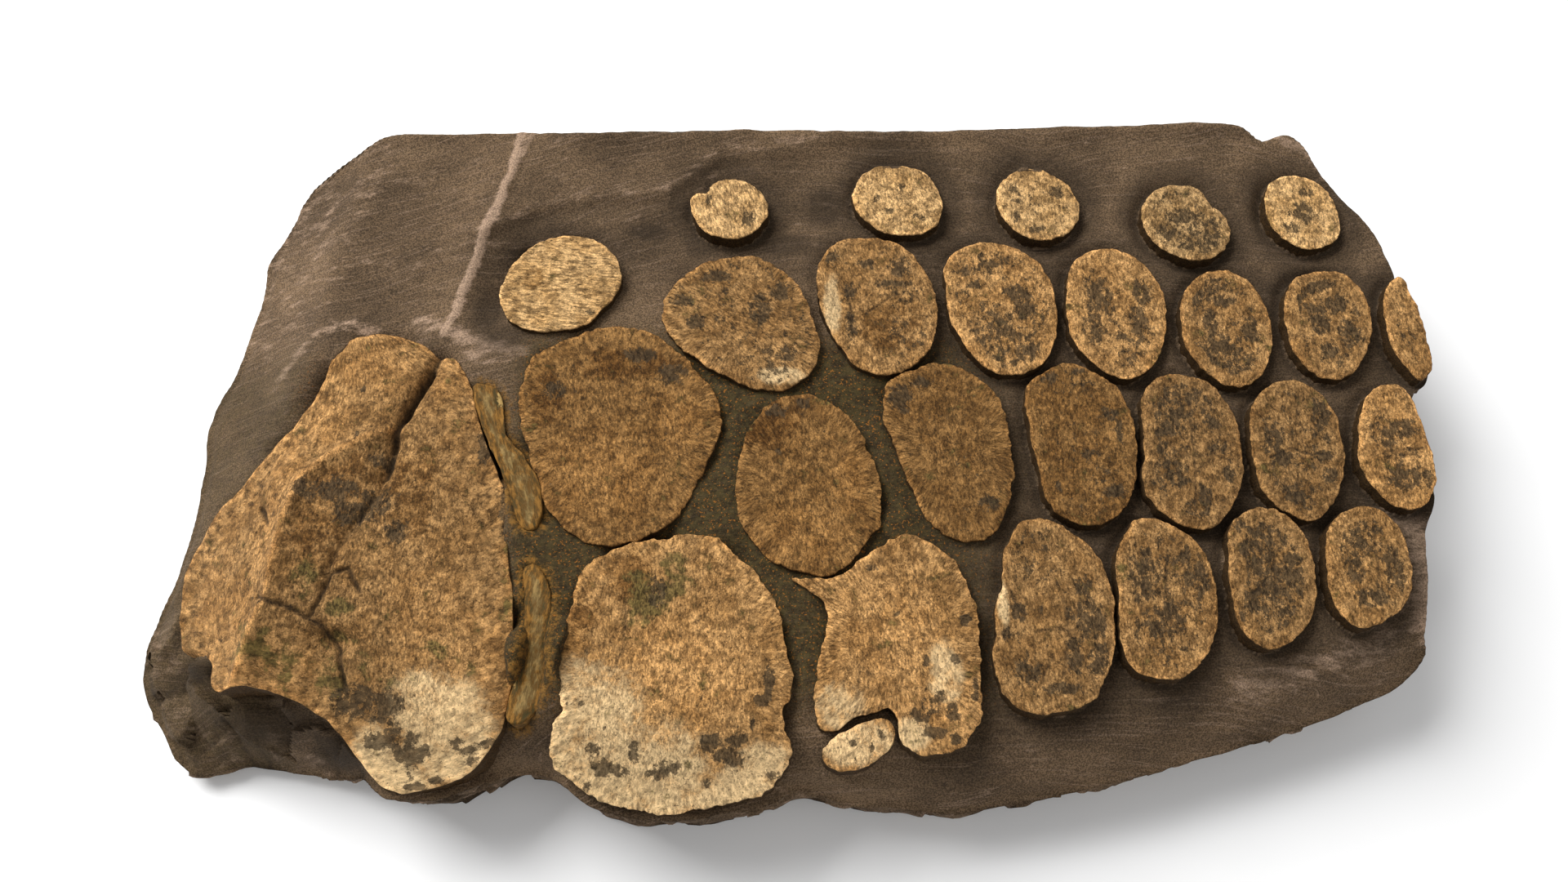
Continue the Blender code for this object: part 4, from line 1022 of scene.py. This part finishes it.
def slab(edges):
    """The shale, as a sheet stretched between its four rims, with a rough side below them."""
    shell = cad_shell("matrix_slab")
    cad_rim = upper_edge(shell)
    rim = smooth_loop(cad_rim, 1.0)
    rim[:, :2] += outwards(rim) * (0.7 * patches(rim, 9.0, 71, 3) - 0.4)[:, None]
    levels = Levels(shell, cad_rim, 4.0, edges.values())
    sheet = stretched_sheet(rim)
    columns, rows = sheet.shape[:2]
    xy = sheet.reshape(-1, 3)[:, :2]
    x, y = xy.T
    to_rim = distance(xy, rim[::2])
    z = levels.at(xy)
    z = z * ease(to_rim, 0, 7) + sheet_rim_level(xy, rim) * (1 - ease(to_rim, 0, 7))
    gap = np.full(len(xy), FAR)
    under = np.zeros(len(xy), bool)
    for edge in edges.values():
        low, high = edge[:, :2].min(0) - GAP_REACH, edge[:, :2].max(0) + GAP_REACH
        close = np.flatnonzero(np.all((xy > low) & (xy < high), axis=1))
        gap[close] = np.minimum(gap[close], distance(xy[close], edge[::2]))
        under[close] |= inside(edge, xy[close])
    within = np.where(under, ease(gap, SLAB_STEP, SLAB_STEP + 1.5), 0)
    seams = [edges[seam] for seam in ("calcite_seam_upper", "calcite_seam_lower")]
    to_seam = np.minimum(*(distance(xy, seam) for seam in seams))
    to_seam *= np.where(inside(seams[0], xy) | inside(seams[1], xy), -1, 1)
    east = ease(x, 20, 110)
    far_side = ease(y, 60, 100)
    deep = np.maximum(east, far_side)
    z -= np.where(under, 0, MOAT * deep * (1 - ease(gap, 1.0, 6.0)))
    z -= UNDER_BONES * within + SEAM_CHANNEL * (1 - ease(to_seam, -2.0, 0.6))
    open_ground = ease(gap, 1, 8)
    z += 1.2 * patches(xy, 34.0, 81, 4, 0.5) * open_ground * ease(to_rim, 0, 5)
    flow = y - 52 * ease(x, -235, 0) - 10 * patches(xy, 60.0, 93, 2)
    z += 0.35 * patches(np.column_stack([0.25 * x, flow]), 8.0, 87, 3, 0.5) * open_ground
    waves = 1.6 * patches(np.column_stack([0.5 * x, flow]), 30.0, 89, 2, 0.5)
    z += waves * open_ground * ease(to_rim, 0, 8)
    z += 0.3 * patches(xy, 3.0, 83, 3, 0.65)
    broken = (1 - ease(x, -180, -150)) * (1 - ease(y, -80, -60)) * ease(gap, 0, 4)
    facets = patches(xy, 20.0, 99, 3, 0.55)
    wavy = xy + 2.0 * np.column_stack([patches(xy, 8.0, 96, 3), patches(xy, 8.0, 98, 3)])
    z += (4.0 * np.abs(facets) + splintered(wavy, 17.0, 0.55, 102)) * broken * ease(to_rim, 0, 9)
    west = 1 - ease(x, 55, 110)
    wrist = west * ease(x, -125, -105) * (1 - ease(y, 35, 60)) * ease(y, -125, -95)
    bevel = (1 - ease(x - 0.28 * (y - 40), -215, -198)) * ease(y, 20, 60)
    pale = 0.24 * bevel + 0.15 * ease(patches(xy, 40.0, 85, 2), 0.1, 0.8)
    wavy = shaken(xy, 1.5, 9.0, 95)
    # The pale lines are raised a little and painted paler, partly as painted highlight.
    for half_width, strength, line in PALE_LINES:
        pale_and_highlight = 1 - ease(to_line(wavy, line), 0.1 * half_width, half_width)
        pale = np.maximum(pale, strength * pale_and_highlight)
        z += 0.6 * strength * pale_and_highlight
    terrace = np.interp(x, TERRACE[:, 0], TERRACE[:, 1])
    lowered = ease(terrace - y, -1.5, 5) * ease(x, -145, -128) * (1 - ease(x, 0, 60))
    lowered *= 1 - ease(terrace - y, 30, 60)
    z -= TERRACE_STEP * lowered
    # The facets of the broken front are painted paler, partly as a painted highlight of its lit planes.
    pale = np.maximum(pale, 0.45 * broken * ease(facets, 0.05, 0.45))
    # Painted shade: the shaded places, the lower ground, the creases between the facets and the ground round
    # the bones.
    shaded = np.maximum(0.8 * smudged(xy, SHADED_GROUND), 0.3 * lowered)
    shaded = np.maximum(shaded, 0.8 * broken * (1 - ease(np.abs(facets), 0.0, 0.07)))
    bone_shadow = np.maximum(0.9 * (1 - ease(gap, 0.5, 6.5)), 0.6 * (1 - ease(gap, 6, 16)))
    masks = {
        "pale": pale,
        "moss": np.maximum(wrist, 0.45 * (1 - ease(x, -215, -195)) * (1 - ease(y, 30, 55))),
        "rust": np.maximum(wrist, 0.5 * smudged(xy, [(-200, 25, 8, 14), (-124, 130, 3, 3)])),
        "amber": 1 - ease(to_seam, 0, 7),
        # Painted shade under the bones, round them and in the shaded places.
        "hollow": np.where(under, within, np.maximum(shaded, deep * bone_shadow)),
        "flow": flow,
    }
    points = [np.column_stack([xy, z])]
    grid = np.arange(columns * rows).reshape(columns, rows)
    faces = np.stack([grid[:-1, :-1], grid[1:, :-1], grid[1:, 1:], grid[:-1, 1:]], axis=-1)
    faces = faces.reshape(-1, 4).tolist()
    border = np.concatenate([grid[:, 0], grid[-1, 1:], grid[-2::-1, -1], grid[0, -2:0:-1]])
    rings, side_masks = slab_side(points[0][border])
    points += rings
    count, total = len(border), len(xy)
    above = border
    for row in range(SIDE_ROWS):
        here = total + np.arange(count)
        faces += np.column_stack([np.roll(above, -1), above, here, np.roll(here, -1)]).tolist()
        above = here
        total += count
    faces.append(list(reversed(above.tolist())))
    for mask in masks:
        masks[mask] = np.concatenate([masks[mask]] + [row.get(mask, np.zeros(count)) for row in side_masks])
    piece = add_piece("matrix_slab", np.vstack(points), faces, masks, shale_material())
    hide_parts("matrix_slab")
    shell.free()


def sheet_rim_level(xy, rim):
    """The level of the nearest point of the rim."""
    level = np.zeros(len(xy))
    for start in range(0, len(xy), CHUNK):
        part = xy[start:start + CHUNK]
        gaps = ((part[:, None] - rim[None, ::3, :2]) ** 2).sum(2)
        level[start:start + CHUNK] = rim[::3, 2][gaps.argmin(1)]
    return level


# Stage, with lengths in metres

GROUND_HALF = 6
# The ground is a hair below the slab, so that the two faces don't coincide.
GROUND_DROP = 0.0005
GROUND_TONES = [(0.3, (0.93, 0.93, 0.93)), (0.7, (0.95, 0.95, 0.95))]
# Each lamp's name, place, size and power.
LAMPS = [
    ("key", (-1.5, 1.4, 1.9), 1.9, 116.0),
    ("fill", (1.4, -1.2, 2.2), 2.0, 12.0),
]
WORLD_LIGHT = 0.38


def stage():
    """A pale ground, two lamps that face the slab and an even light from all round."""
    half = GROUND_HALF
    floor_mesh = bpy.data.meshes.new("ground")
    corners = [(-half, -half, 0), (half, -half, 0), (half, half, 0), (-half, half, 0)]
    floor_mesh.from_pydata(corners, [], [(0, 1, 2, 3)])
    floor = bpy.data.objects.new("ground", floor_mesh)
    floor.location.z = -GROUND_DROP
    bpy.context.scene.collection.objects.link(floor)
    n = Nodes("ground")
    tone = n.ramp(n.noise(400.0), GROUND_TONES)
    floor_mesh.materials.append(n.finish(tone, n.noise(30.0), 0.01, 0.9))
    for name, place, size, power in LAMPS:
        light = bpy.data.lights.new(name, "AREA")
        light.size = size
        light.energy = power
        lamp = bpy.data.objects.new(name, light)
        lamp.location = place
        lamp.rotation_euler = (-Vector(place)).to_track_quat("-Z", "Y").to_euler()
        bpy.context.scene.collection.objects.link(lamp)
    world = bpy.data.worlds.new("studio")
    world.use_nodes = True
    background = world.node_tree.nodes["Background"]
    background.inputs["Color"].default_value = (1.0, 1.0, 1.0, 1.0)
    background.inputs["Strength"].default_value = WORLD_LIGHT
    bpy.context.scene.world = world
    bpy.context.scene.view_settings.view_transform = "Standard"


def camera():
    """The view of the photo."""
    data = bpy.data.cameras.new("view")
    data.lens = CAMERA_LENS
    data.sensor_width = SENSOR_WIDTH
    data.clip_start = 0.01
    view = bpy.data.objects.new("view", data)
    view.location = Vector(CAMERA_PLACE) * MM
    view.rotation_euler = (np.radians(CAMERA_TILT), 0.0, 0.0)
    bpy.context.scene.collection.objects.link(view)
    bpy.context.scene.camera = view


edges = {"humerus": humerus()}
for bone_name in BONE_LOOKS:
    edges[bone_name] = bone(bone_name)
for seam_name in ("calcite_seam_upper", "calcite_seam_lower"):
    edges[seam_name] = calcite_seam(seam_name)
slab(edges)
stage()
camera()
